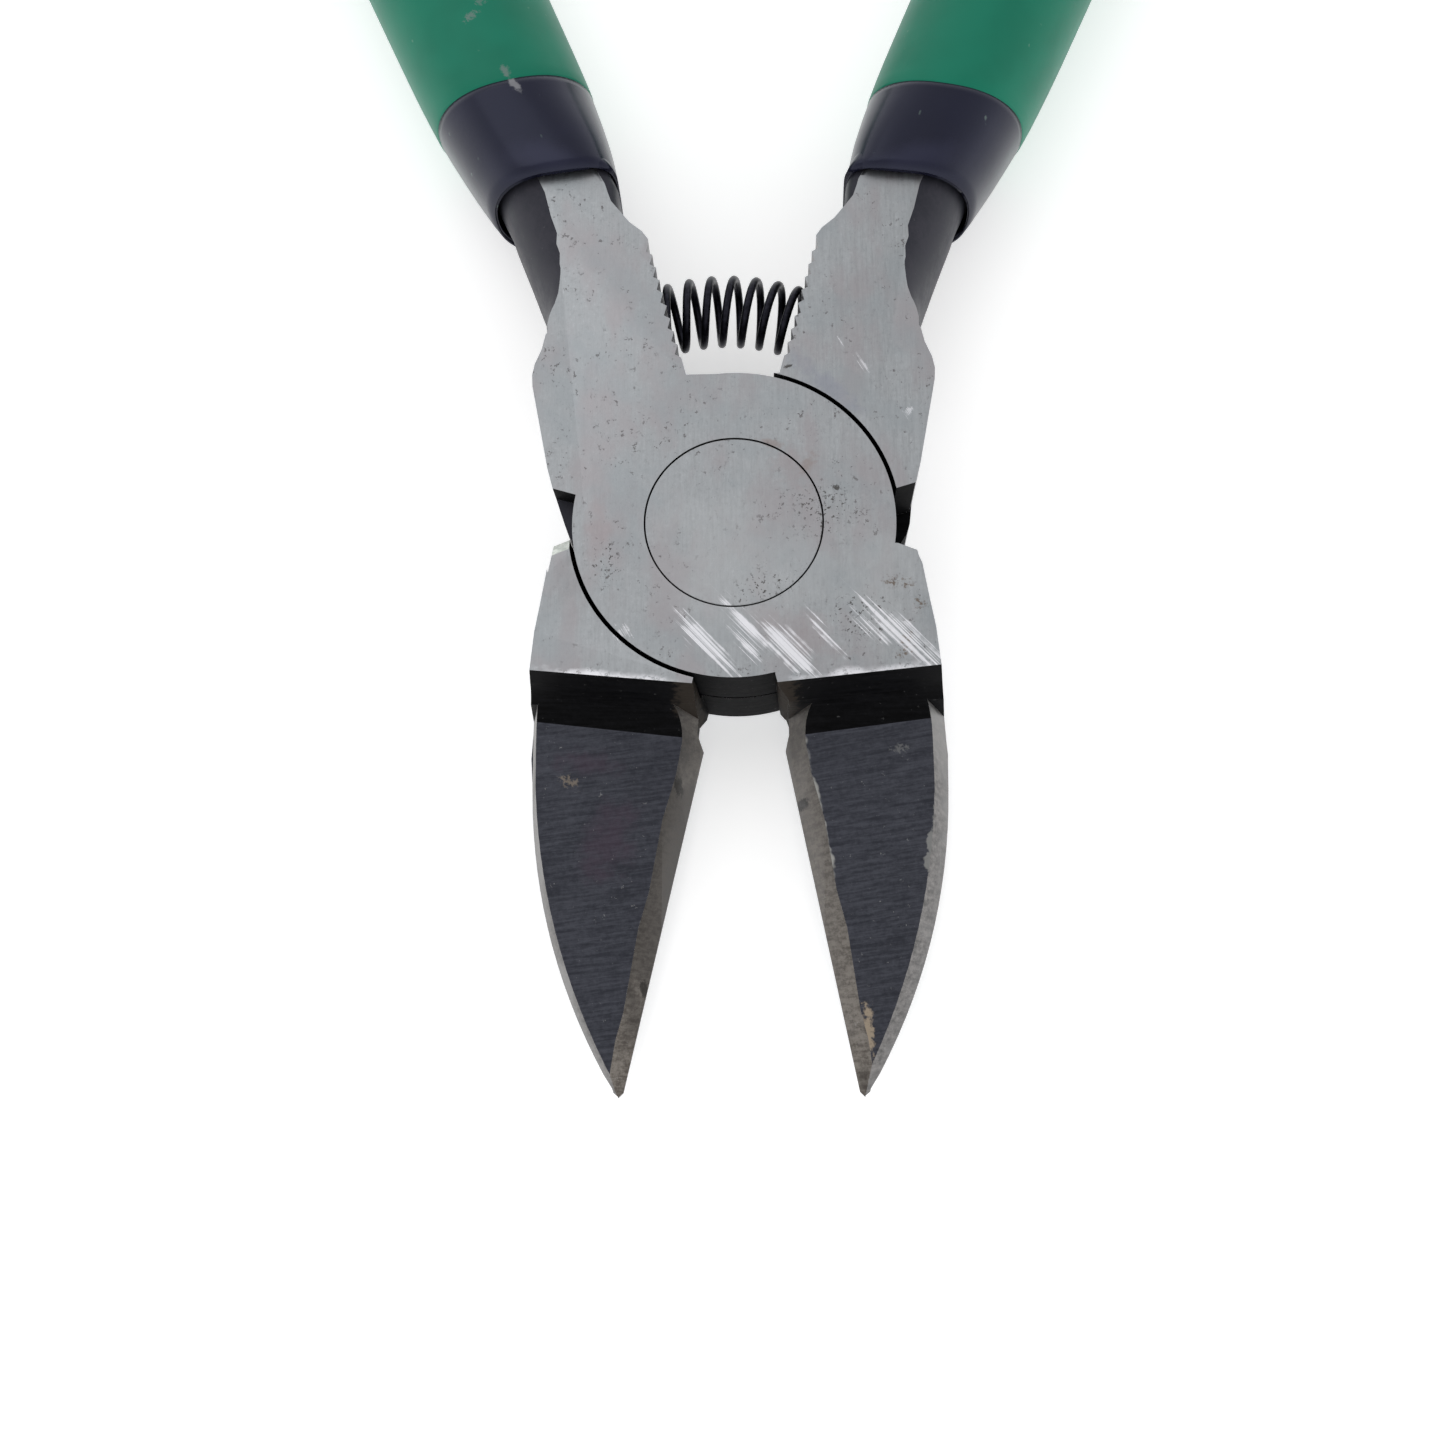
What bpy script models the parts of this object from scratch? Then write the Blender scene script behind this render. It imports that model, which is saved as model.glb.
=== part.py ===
"""Flush cutter: a sprung lap-joint side cutter with two-layer dipped grips.

The cutter lies flat in its open rest pose. The jaws point along -Y and the grips along +Y. The pivot
is the Z axis, and Z = 0 is the flat underside of the joint and of both blades. The upper half is one
forging with its handle at -X, its joint disc on top and its jaw at +X. The lower half is its mirror
image with the disc below. Dimensions are in millimetres and are scaled to metres by MM.
"""

import math

import bmesh
import bpy
from mathutils import Matrix
from mathutils import Vector

MM = 0.001
WELD_DISTANCE = 0.001
TURN_WELD_DISTANCE = 0.01
SIDES = {"upper": -1, "lower": 1}

# Joint
THICKNESS = 8.5
MID_HEIGHT = THICKNESS / 2
DISC_RADIUS = 9.0
DISC_SEGMENTS = 128
RADIAL_GAP = 0.25
LAYER_GAP = 0.2
OVERSHOOT = 1.5
REAR_FLAT_Y = 8.95
UPPER_LUG_TOP = 7.0
LIMIT_LOW = (-60.0, -60.0, 0.0)
LIMIT_HIGH = (60.0, 160.0, THICKNESS)

# Rivet
RIVET_HEAD_RADIUS = 4.93
RIVET_HEAD_DEPTH = 1.4
RIVET_SHANK_RADIUS = 3.2
RIVET_CONE_DEPTH = 0.9
RIVET_GAP = 0.08
RIVET_SEGMENTS = 96

# Cutting edges: each jaw's edge passes the pivot at an offset and leans out by an angle. The offsets are
# opposite, so both edges lie on one line beside the pivot when the jaws close.
CLOSED_LINE_OFFSET = 0.525
EDGE_CLEARANCE = 0.04
EDGE_OFFSET = {"upper": CLOSED_LINE_OFFSET, "lower": -CLOSED_LINE_OFFSET}
EDGE_LEAN = {"upper": math.radians(11.05), "lower": math.radians(12.85)}

# Jaws
TIP_Y = -31.0
TIP_ROUNDING = 0.28
NUB_Y = -11.2
THROAT = {
    "upper": ((1.5, -4.5), (2.3, -8.6), (2.72, -9.2), (2.97, -9.7), (2.98, -10.4), (2.86, -10.8)),
    "lower": ((1.1, -4.5), (1.7, -8.6), (1.86, -9.2), (2.3, -9.8), (2.36, -10.4), (2.2, -10.85)),
}
STEP_INNER = (2.32, -9.3)
STEP_OUTER = (11.18, -8.43)
BLADE_WIDEST_Y = -13.7
BLADE_WIDEST_X = {"upper": 12.2, "lower": 12.1}
BLADE_ARC_SAGITTA = 1.18
BLADE_ARC_STEPS = 16
BLADE_FLANK_DRAFT = 0.6
BLADE_FLANK_LIFT = 0.3
JAW_BLOCK = ((11.32, -11.0), STEP_OUTER, (10.97, -6.27), (10.67, -4.57), (10.35, -2.6))
JAW_BLOCK_DRAFT = 0.75
JAW_BLOCK_FOOT = 0.15
JAW_SHOULDER = ((10.1, -1.85), (9.05, -1.43), (7.0, -1.3))
SHOULDER_SLOPE = {"upper": 0.0, "lower": 0.75}
SHOULDER_FACET_RUN = {"upper": 0.0, "lower": 0.8}
SHOULDER_FACET_Z = 7.6
FACET_POINTS = 2

# Blade tops
STEP_WALL_RUN = 0.3
STEP_WALL_DROP = 1.5
STEP_FILLET_STEPS = 9
BLADE_ROOT_RUN = 2.6
BLADE_ROOT_HEIGHT = 3.9
BLADE_TIP_RUN = 22.6
BLADE_TIP_HEIGHT = 2.0
BLADE_ROLL = math.radians(5.5)
SWEEP_START = 4.0
SWEEP_END = -16.0

# Ground faces along both edges of a blade
EDGE_LAND = 0.12
BEVEL_ROOT_Y = -9.6
BEVEL_LEAN = (0.36, 0.75)
FLANK_LAND = 0.3
FLANK_ROOT_Y = -9.4
FLANK_LEAN = {"upper": (0.34, 0.55), "lower": (0.2, 0.36)}
GRIND_HEIGHT = 7.0
GRIND_STATIONS = 5
GRIND_BITE = 0.02
GRIND_REACH = 3.5
GRIND_OVERRUN = 3.0

# Tangs
TOOTH_PITCH = 0.85
TOOTH_DEPTH = 0.3
TOOTH_COUNT = 9
TOOTH_VALLEY_SHARE = 0.35
FIRST_TOOTH = 1.1
FACE_START = (2.66, REAR_FLAT_Y)
FACE_END = (4.9, 17.65)
TANG_NECK = ((5.25, 18.15), (6.0, 18.78), (7.1, 20.2), (7.55, 21.5), (9.4, 21.5), (8.4, 17.5),
             (8.2, 14.6), (9.4, 12.7))
TANG_SHOULDER = ((10.74, 11.68), (10.95, 10.73), (11.33, 9.8), (11.47, 9.1), (11.43, 8.4),
                 (11.17, 7.04), (10.46, 3.34), (10.14, 2.14), (8.75, 1.72), (5.0, 1.0))
UPPER_LUG = ((5.0, 3.0), (10.28, 2.8), (10.14, 2.14), (9.62, 0.55), (9.2, -0.45), (5.0, -0.6))
LOWER_LUG = ((5.0, 3.0), (10.3, 2.8), (10.14, 1.4), (9.95, 0.75), (9.6, 0.2), (9.3, -0.15), (5.0, -0.3))

# Forged bar through the tang: Y, inner X, outer X, half height, inner squareness, outer squareness
TANG_SECTIONS = (
    (10.3, 6.2, 10.2, 5.2, 8.0, 8.0),
    (11.7, 5.8, 10.74, 5.2, 8.0, 7.0),
    (13.6, 5.8, 11.05, 4.8, 8.0, 3.2),
    (15.5, 5.9, 11.75, 4.57, 9.0, 2.1),
    (17.5, 6.2, 12.5, 4.33, 10.0, 2.1),
    (19.3, 6.6, 13.2, 4.266, 10.0, 2.15),
)
TANG_STEPS_PER_SECTION = 3

# Handle line, as a cubic curve from the tang to the grip's end
HANDLE_CURVE = ((8.6, 17.5), (23.5, 50.3), (35.5, 79.0), (38.0, 114.0))
HANDLE_SEARCH_MARGIN = 0.05
HANDLE_SEARCH_STEPS = 40
CORE_POINTS = 80
CORE_STATIONS = 13
GRIP_POINTS = 24
GRIP_STATIONS = 16
STATION_CROWDING = 1.25
CORE_START_Y = 21.0
CORE_FLAT_END_Y = 22.8
LIP_Y = {"upper": 22.1, "lower": 21.65}
LIP_TILT = -0.06
LIP_TURN = 0.3
TILT_FADE_POWER = 4
COLOUR_BREAK_Y = {"upper": 28.65, "lower": 27.65}
COLOUR_BREAK_TILT = -0.1
COLLAR_SHARES = (0.0, 0.25, 0.6, 1.0)
COLLAR_STEP = 0.35
SQUARE_UP_Y = 44.0
GRIP_GAP = 0.2
BORE_GAP = 0.28
OUTER_SKIN = 0.75
CORE_END_Y = 107.0
BORE_END_Y = 107.6
INNER_END_Y = 109.5
OUTER_BORE_END_Y = 109.7
OUTER_END_Y = 111.0
DOME_ANGLES = (math.radians(35), math.radians(62), math.radians(82))
INNER_DOME = 3.0
OUTER_BORE_DOME = 3.4
OUTER_DOME = 4.6

# Sizes along the handle as (Y, value) knots: half widths, half heights and squareness
GRIP_WIDTH = ((18.0, 3.4), (22.0, 3.9), (25.0, 4.42), (29.4, 4.93), (37.0, 5.18), (65.0, 5.85),
              (90.0, 5.75), (106.0, 5.3), (112.0, 4.9))
GRIP_HEIGHT = ((18.0, 4.85), (21.2, 4.9), (29.4, 5.15), (37.0, 5.3), (65.0, 5.6), (90.0, 5.5), (112.0, 4.9))
CORE_WIDTH = ((21.0, 3.32), (22.2, 3.38), (25.0, 3.3), (29.4, 3.1), (45.0, 3.1), (110.0, 2.4))
CORE_HEIGHT = ((20.9, 4.279), (22.8, 4.264), (25.0, 4.05), (29.4, 3.4), (45.0, 3.2), (110.0, 2.6))
INNER_POWER = ((21.2, 4.6), (28.0, 2.4), (45.0, 2.3))
CORE_INNER_POWER = ((21.2, 9.0), (25.0, 4.0), (29.4, 2.6))
OUTER_POWER = 2.3
LIP_PINCH = ((21.0, 0.93), (23.5, 0.98), (26.0, 1.0))

# Spring: its axis is an arc near the crest and runs straight into both seats
SPRING_RADIUS = 1.9
SPRING_WIRE_RADIUS = 0.24
SPRING_PITCH = 1.24
SPRING_STEPS_PER_TURN = 12
SPRING_BEVEL_RESOLUTION = 2
SPRING_PHASE = math.pi
SPRING_CREST = (-0.6, 15.15)
SPRING_BOW_RADIUS = 11.0
SPRING_BOW_REACH = 3.2
SPRING_REACH = {"upper": -6.7, "lower": 7.9}
SPRING_LEAN = math.radians(-2.5)
SPRING_LEAN_SHARE = 0.6
SEAT_RADIUS = 2.5
SEAT_DEPTH = 5.7
SEAT_CLEARANCE = 0.3
SEAT_SEGMENTS = 32


def clear_scene():
    """Remove every object of the scene the script starts in."""
    for item in list(bpy.data.objects):
        bpy.data.objects.remove(item, do_unlink=True)


def new_collection(name):
    """Link a fresh collection to the scene."""
    collection = bpy.data.collections.new(name)
    bpy.context.scene.collection.children.link(collection)
    return collection


def new_material(name, colour, roughness, metallic):
    """A plain Principled material."""
    material = bpy.data.materials.new(name)
    material.use_nodes = True
    shader = material.node_tree.nodes["Principled BSDF"]
    shader.inputs["Base Color"].default_value = (*colour, 1.0)
    shader.inputs["Roughness"].default_value = roughness
    shader.inputs["Metallic"].default_value = metallic
    return material


def object_from_bmesh(name, mesh_data, collection):
    """Turn a bmesh in metres into a linked object with its faces pointing out."""
    bmesh.ops.recalc_face_normals(mesh_data, faces=mesh_data.faces)
    mesh = bpy.data.meshes.new(name)
    mesh_data.to_mesh(mesh)
    mesh_data.free()
    item = bpy.data.objects.new(name, mesh)
    collection.objects.link(item)
    return item


def mark_as_cutter(item):
    """Keep a helper solid out of the finished part."""
    item.hide_render = True
    item.display_type = "WIRE"
    return item


def mesh_from_curve(item, collection):
    """Replace a curve object by its closed mesh."""
    depsgraph = bpy.context.evaluated_depsgraph_get()
    mesh = bpy.data.meshes.new_from_object(item.evaluated_get(depsgraph))
    mesh_data = bmesh.new()
    mesh_data.from_mesh(mesh)
    bmesh.ops.remove_doubles(mesh_data, verts=mesh_data.verts, dist=WELD_DISTANCE * MM)
    meshed = object_from_bmesh(item.name + "_mesh", mesh_data, collection)
    meshed.matrix_world = item.matrix_world.copy()
    bpy.data.objects.remove(item, do_unlink=True)
    return meshed


def outline_solid(name, outline, low, high, collection):
    """A flat outline in X and Y, given thickness between two heights."""
    curve = bpy.data.curves.new(name, "CURVE")
    curve.dimensions = "2D"
    curve.fill_mode = "BOTH"
    curve.extrude = (high - low) / 2 * MM
    spline = curve.splines.new("POLY")
    spline.points.add(len(outline) - 1)
    for point, (x, y) in zip(spline.points, outline):
        point.co = (x * MM, y * MM, 0.0, 1.0)
    spline.use_cyclic_u = True
    item = bpy.data.objects.new(name, curve)
    item.location.z = (low + high) / 2 * MM
    collection.objects.link(item)
    bpy.context.view_layer.update()
    return mesh_from_curve(item, collection)


def add_ring(mesh_data, ring):
    """Add one loft section's vertices."""
    return [mesh_data.verts.new(Vector(point) * MM) for point in ring]


def bridge_rings(mesh_data, first, second):
    """Join two sections of equal length with quads."""
    count = len(first)
    for index in range(count):
        following = (index + 1) % count
        mesh_data.faces.new((first[index], first[following], second[following], second[index]))


def loft_solid(name, rings, collection):
    """A closed solid of triangles through unlike sections, capped at both ends."""
    mesh_data = bmesh.new()
    sections = [add_ring(mesh_data, ring) for ring in rings]
    for first, second in zip(sections, sections[1:]):
        bridge_rings(mesh_data, first, second)
    mesh_data.faces.new(sections[0])
    mesh_data.faces.new(sections[-1])
    bmesh.ops.triangulate(mesh_data, faces=mesh_data.faces)
    return object_from_bmesh(name, mesh_data, collection)


def turned_solid(name, profile, segments, collection):
    """A closed profile of (radius, height) points turned about the pivot axis."""
    mesh_data = bmesh.new()
    verts = [mesh_data.verts.new((radius * MM, 0.0, height * MM)) for radius, height in profile]
    for first, second in zip(verts, verts[1:]):
        mesh_data.edges.new((first, second))
    mesh = bpy.data.meshes.new(name)
    mesh_data.to_mesh(mesh)
    mesh_data.free()
    item = bpy.data.objects.new(name, mesh)
    collection.objects.link(item)
    screw = item.modifiers.new("Turn", "SCREW")
    screw.steps = segments
    screw.render_steps = segments
    screw.use_merge_vertices = True
    screw.merge_threshold = TURN_WELD_DISTANCE * MM
    return item


def combine(target, other, operation):
    """Add one Boolean to a part's stack."""
    boolean = target.modifiers.new(other.name, "BOOLEAN")
    boolean.object = other
    boolean.operation = operation
    boolean.solver = "EXACT"


def mirrored(outline, side):
    """Put an outline drawn for +X on the given side."""
    return [(side * x, y) for x, y in outline]


def blend_value(position, knots):
    """Value between (position, value) knots, in straight steps."""
    if position <= knots[0][0]:
        return knots[0][1]
    for (low, low_value), (high, high_value) in zip(knots, knots[1:]):
        if position <= high:
            share = (position - low) / (high - low)
            return low_value + (high_value - low_value) * share
    return knots[-1][1]


def smooth_value(share, before, low, high, after):
    """Value between two knots on a smooth curve through them and their neighbours."""
    slope_low = (high - before) / 2
    slope_high = (after - low) / 2
    rest = 1 - share
    value = low * rest ** 2 * (1 + 2 * share) + high * share ** 2 * (1 + 2 * rest)
    return value + slope_low * share * rest ** 2 - slope_high * share ** 2 * rest


# ---------------------------------------------------------------- jaws


def cutting_edge_x(layer, y):
    """Distance of a jaw's cutting edge from the centre line, on the jaw's own side."""
    lean = EDGE_LEAN[layer]
    return (EDGE_OFFSET[layer] + EDGE_CLEARANCE) / math.cos(lean) - y * math.tan(lean)


def blade_back_arc(layer):
    """The blade's outer edge, as an arc from the tip to its widest place."""
    start = Vector((cutting_edge_x(layer, TIP_Y) + 2 * TIP_ROUNDING, TIP_Y + TIP_ROUNDING))
    end = Vector((BLADE_WIDEST_X[layer], BLADE_WIDEST_Y))
    chord = end - start
    outward = Vector((chord.y, -chord.x)).normalized()
    points = []
    for step in range(BLADE_ARC_STEPS + 1):
        share = step / BLADE_ARC_STEPS
        bulge = 4 * share * (1 - share) * BLADE_ARC_SAGITTA
        point = start + chord * share + outward * bulge
        points.append((point.x, point.y))
    return points


def jaw_outlines(layer):
    """The jaw's outline on the underside and on the top plane, with matching points."""
    tip_x = cutting_edge_x(layer, TIP_Y)
    nub = (cutting_edge_x(layer, NUB_Y), NUB_Y)
    tip = [(tip_x, TIP_Y + TIP_ROUNDING), (tip_x + TIP_ROUNDING, TIP_Y)]
    low = [*THROAT[layer], nub, *tip]
    high = [THROAT[layer][0], (STEP_INNER[0] - JAW_BLOCK_FOOT, THROAT[layer][1][1]), STEP_INNER]
    high += [*THROAT[layer][3:], nub, *tip]
    for x, y in blade_back_arc(layer):
        draft = min(BLADE_FLANK_DRAFT, (x - cutting_edge_x(layer, y)) / 2)
        low.append((x, y))
        high.append((x - draft, y + BLADE_FLANK_LIFT * draft))
    for x, y in JAW_BLOCK:
        low.append((x + JAW_BLOCK_DRAFT + JAW_BLOCK_FOOT, y))
        high.append((x, y))
    for x, y in JAW_SHOULDER:
        low.append((x + JAW_BLOCK_DRAFT / 2, y + SHOULDER_SLOPE[layer]))
        high.append((x, y))
    return low, high


def jaw_solid(name, layer, side, collection):
    """The drafted jaw block and blade, still as tall as the joint, with a facet behind the shoulder."""
    low, high = jaw_outlines(layer)
    shoulder_start = len(low) - len(JAW_SHOULDER)
    facet_end = shoulder_start + FACET_POINTS
    facet_slope = SHOULDER_FACET_RUN[layer] / (THICKNESS - SHOULDER_FACET_Z)
    rings = []
    for level in (-OVERSHOOT, SHOULDER_FACET_Z, THICKNESS + OVERSHOOT):
        share = level / THICKNESS
        facet = facet_slope * (THICKNESS - max(level, SHOULDER_FACET_Z)) if level > 0 else 0.0
        ring = []
        for index, ((low_x, low_y), (high_x, high_y)) in enumerate(zip(low, high)):
            x = low_x + (high_x - low_x) * share
            y = low_y + (high_y - low_y) * share
            if shoulder_start <= index < facet_end:
                y += facet
            ring.append((side * x, y, level))
        rings.append(ring)
    return mark_as_cutter(loft_solid(name, rings, collection))


def blade_top_profile():
    """Run and height of the step wall, its fillet and the blade's falling top."""
    headroom = THICKNESS + SWEEP_START
    profile = [(0.0, headroom), (0.0, THICKNESS), (STEP_WALL_RUN, THICKNESS - STEP_WALL_DROP)]
    run = BLADE_ROOT_RUN - STEP_WALL_RUN
    drop = THICKNESS - STEP_WALL_DROP - BLADE_ROOT_HEIGHT
    for step in range(1, STEP_FILLET_STEPS + 1):
        angle = math.pi / 2 * step / STEP_FILLET_STEPS
        across = BLADE_ROOT_RUN - run * math.cos(angle)
        height = THICKNESS - STEP_WALL_DROP - drop * math.sin(angle)
        profile.append((across, height))
    slope = (BLADE_TIP_HEIGHT - BLADE_ROOT_HEIGHT) / (BLADE_TIP_RUN - BLADE_ROOT_RUN)
    far = BLADE_TIP_RUN + SWEEP_START
    profile.append((far, BLADE_ROOT_HEIGHT + slope * (far - BLADE_ROOT_RUN)))
    profile.append((far, headroom))
    return profile


def blade_top_cutter(name, side, collection):
    """Everything above the blade, swept along the step line and rolled down towards the edge."""
    rings = []
    for across in (SWEEP_START, SWEEP_END):
        lift = across * math.tan(BLADE_ROLL)
        ring = []
        for run, height in blade_top_profile():
            ring.append((side * across, -run, height + lift))
        rings.append(ring)
    cutter = loft_solid(name, rings, collection)
    step_angle = math.atan2(STEP_OUTER[1] - STEP_INNER[1], STEP_OUTER[0] - STEP_INNER[0])
    place = Matrix.Translation(Vector((side * STEP_OUTER[0], STEP_OUTER[1], 0.0)) * MM)
    cutter.matrix_world = place @ Matrix.Rotation(side * step_angle, 4, "Z")
    return mark_as_cutter(cutter)


def grind_ring(side, point, outward, base, lean):
    """Section of a ground face's cutter, square to the ground edge."""
    foot = Vector(point)
    top = foot - outward * lean * GRIND_HEIGHT
    far = foot + outward * GRIND_REACH
    corners = ((foot, base), (top, base + GRIND_HEIGHT), (far, base + GRIND_HEIGHT), (far, base))
    return [(side * corner.x, corner.y, level) for corner, level in corners]


def edge_bevel_cutter(name, layer, side, collection):
    """The ground bevel that rises from the cutting edge, leaning more towards the tip."""
    rings = []
    root_lean, tip_lean = BEVEL_LEAN
    end_y = TIP_Y - GRIND_OVERRUN
    for station in range(GRIND_STATIONS):
        share = station / (GRIND_STATIONS - 1)
        y = BEVEL_ROOT_Y + (end_y - BEVEL_ROOT_Y) * share
        lean = root_lean + (tip_lean - root_lean) * share
        point = (cutting_edge_x(layer, y) - GRIND_BITE, y)
        rings.append(grind_ring(side, point, Vector((-1.0, 0.0)), EDGE_LAND, lean))
    return mark_as_cutter(loft_solid(name, rings, collection))


def flank_cutter(name, layer, side, collection):
    """The ground strip along the blade's outer edge."""
    back = [Vector(point) for point in blade_back_arc(layer)]
    root = Vector((BLADE_WIDEST_X[layer] + GRIND_BITE, FLANK_ROOT_Y))
    path = [back[0] - (back[1] - back[0]), *back, root]
    root_lean, tip_lean = FLANK_LEAN[layer]
    rings = []
    for index, point in enumerate(path):
        before = path[max(index - 1, 0)]
        after = path[min(index + 1, len(path) - 1)]
        along = (after - before).normalized()
        outward = Vector((along.y, -along.x))
        if point == root:
            outward = Vector((1.0, 0.0))
        lean = tip_lean + (root_lean - tip_lean) * index / (len(path) - 1)
        rings.append(grind_ring(side, point + outward * GRIND_BITE, outward, FLANK_LAND, lean))
    return mark_as_cutter(loft_solid(name, rings, collection))


# ---------------------------------------------------------------- tangs and handle cores


def serrated_face():
    """The tang's inner edge with its row of teeth."""
    start = Vector(FACE_START)
    end = Vector(FACE_END)
    along = (end - start).normalized()
    into = Vector((along.y, -along.x))
    points = [FACE_START]
    for tooth in range(TOOTH_COUNT):
        root = start + along * (FIRST_TOOTH + tooth * TOOTH_PITCH)
        valley = root + along * (TOOTH_VALLEY_SHARE * TOOTH_PITCH) + into * TOOTH_DEPTH
        points.append((root.x, root.y))
        points.append((valley.x, valley.y))
    points.append(FACE_END)
    return points


def tang_outline():
    """The flat tang from the joint to the place where the handle core takes over."""
    return [(0.0, 3.0), (0.0, REAR_FLAT_Y), *serrated_face(), *TANG_NECK, *TANG_SHOULDER]


def tang_rows():
    """The tang's sections with smooth ones added between them."""
    rows = [TANG_SECTIONS[0]]
    last = len(TANG_SECTIONS) - 1
    for index in range(last):
        around = [TANG_SECTIONS[min(max(index + step, 0), last)] for step in (-1, 0, 1, 2)]
        for step in range(1, TANG_STEPS_PER_SECTION + 1):
            share = step / TANG_STEPS_PER_SECTION
            rows.append([smooth_value(share, *values) for values in zip(*around)])
    return rows


def unit_section(points, inner_power, outer_power):
    """Offsets and heights from -1 to 1 round a section whose two sides may be squared differently."""
    section = []
    for index in range(points):
        angle = 2 * math.pi * (index + 0.5) / points
        cosine = math.cos(angle)
        sine = math.sin(angle)
        power = outer_power if cosine > 0 else inner_power
        offset = math.copysign(abs(cosine) ** (2 / power), cosine)
        height = math.copysign(abs(sine) ** (2 / power), sine)
        section.append((offset, height))
    return section


def handle_point(share):
    """Point and direction on the handle line."""
    start, first, second, end = (Vector(point) for point in HANDLE_CURVE)
    rest = 1 - share
    point = start * rest ** 3 + first * 3 * rest ** 2 * share
    point += second * 3 * rest * share ** 2 + end * share ** 3
    slope = (first - start) * rest ** 2 + (second - first) * 2 * rest * share + (end - second) * share ** 2
    return point, slope.normalized()


def handle_share_at(y):
    """The curve parameter where the handle line reaches a given Y."""
    low = -HANDLE_SEARCH_MARGIN
    high = 1 + HANDLE_SEARCH_MARGIN
    for _step in range(HANDLE_SEARCH_STEPS):
        middle = (low + high) / 2
        point, _direction = handle_point(middle)
        if point.y < y:
            low = middle
        else:
            high = middle
    return (low + high) / 2


def no_pinch(_y):
    """The inner side's share of the half width where nothing narrows it."""
    return 1.0


def handle_ring(y, size, tilt=0.0, pinch=no_pinch):
    """One section across the handle, nearly square to Y at the lip and square to the handle further on."""
    ring = []
    for offset, level in unit_section(size["points"], size["power"](y), OUTER_POWER):
        station = y + tilt * level * size["height"](y)
        point, direction = handle_point(handle_share_at(station))
        square = Vector((direction.y, -direction.x))
        share = min(1.0, max(0.0, (station - CORE_START_Y) / (SQUARE_UP_Y - CORE_START_Y)))
        turn = LIP_TURN + (1 - LIP_TURN) * share
        across = Vector((1.0, 0.0)).lerp(square, turn)
        across /= across.dot(square)
        reach = offset * size["width"](station)
        if offset < 0:
            reach *= pinch(station)
        height = MID_HEIGHT + level * size["height"](station)
        ring.append((point.x + across.x * reach, point.y + across.y * reach, height))
    return ring


def table(knots, extra=0.0):
    """A size along the handle, read from a table of knots and grown by a fixed amount."""
    def size(y):
        return blend_value(y, knots) + extra
    return size


def grip_size(skin=0.0):
    """Width, height and squareness of a grip's outside, or of a surface under it by a skin."""
    return {
        "points": GRIP_POINTS,
        "width": table(GRIP_WIDTH, -skin),
        "height": table(GRIP_HEIGHT, -skin),
        "power": table(INNER_POWER),
    }


def core_size(points, gap=0.0):
    """Width, height and squareness of the forged core, or of a bore round it."""
    return {
        "points": points,
        "width": table(CORE_WIDTH, gap),
        "height": table(CORE_HEIGHT, gap),
        "power": table(CORE_INNER_POWER),
    }


def handle_rings(first_y, last_y, stations, size, tilt):
    """Sections from a tilted front edge to a square end, closer together near the front."""
    rings = []
    for index in range(stations):
        share = (index / (stations - 1)) ** STATION_CROWDING
        y = first_y + (last_y - first_y) * share
        rings.append(handle_ring(y, size, tilt * (1 - share) ** TILT_FADE_POWER))
    return rings


def domed_end(last_y, size, length):
    """Shrinking sections that close a rounded end."""
    rings = []
    for angle in DOME_ANGLES:
        shrunk = dict(size)
        for key in ("width", "height"):
            shrunk[key] = lambda station, full=size[key], shrink=math.cos(angle): full(station) * shrink
        rings.append(handle_ring(last_y + length * math.sin(angle), shrunk))
    return rings


def on_side(rings, side):
    """Put sections drawn for +X on the given side."""
    return [[(side * x, y, z) for x, y, z in ring] for ring in rings]


def core_solid(name, side, collection):
    """The forged bar from the tang to the end of the handle."""
    rings = []
    for y, inner_x, outer_x, half_height, inner_power, outer_power in tang_rows():
        middle = (inner_x + outer_x) / 2
        reach = (outer_x - inner_x) / 2
        section = unit_section(CORE_POINTS, inner_power, outer_power)
        rings.append([(middle + offset * reach, y, MID_HEIGHT + level * half_height)
                      for offset, level in section])
    size = core_size(CORE_POINTS)
    rings.append(handle_ring(CORE_START_Y, size))
    rings += handle_rings(CORE_FLAT_END_Y, CORE_END_Y, CORE_STATIONS, size, 0.0)
    return mark_as_cutter(loft_solid(name, on_side(rings, side), collection))


# ---------------------------------------------------------------- steel parts


def spring_axis(run):
    """Point and direction on the spring's axis, at a distance from its crest."""
    bend = max(-SPRING_BOW_REACH, min(SPRING_BOW_REACH, run))
    angle = bend / SPRING_BOW_RADIUS
    direction = Vector((math.cos(angle), -math.sin(angle), 0.0))
    sag = SPRING_BOW_RADIUS * (1 - math.cos(angle))
    point = Vector((SPRING_CREST[0] + SPRING_BOW_RADIUS * math.sin(angle), SPRING_CREST[1] - sag, MID_HEIGHT))
    return point + direction * (run - bend), direction


def spring_seat_cutter(name, layer, collection):
    """The blind seat that holds one end of the spring."""
    side = SIDES[layer]
    end, direction = spring_axis(SPRING_REACH[layer])
    mesh_data = bmesh.new()
    bmesh.ops.create_cone(mesh_data, cap_ends=True, segments=SEAT_SEGMENTS, radius1=SEAT_RADIUS * MM,
                          radius2=SEAT_RADIUS * MM, depth=SEAT_DEPTH * MM)
    cutter = object_from_bmesh(name, mesh_data, collection)
    middle = end + direction * side * (SEAT_CLEARANCE - SEAT_DEPTH / 2)
    turn = direction.to_track_quat("Z", "Y").to_matrix().to_4x4()
    cutter.matrix_world = Matrix.Translation(middle * MM) @ turn
    return mark_as_cutter(cutter)


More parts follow.
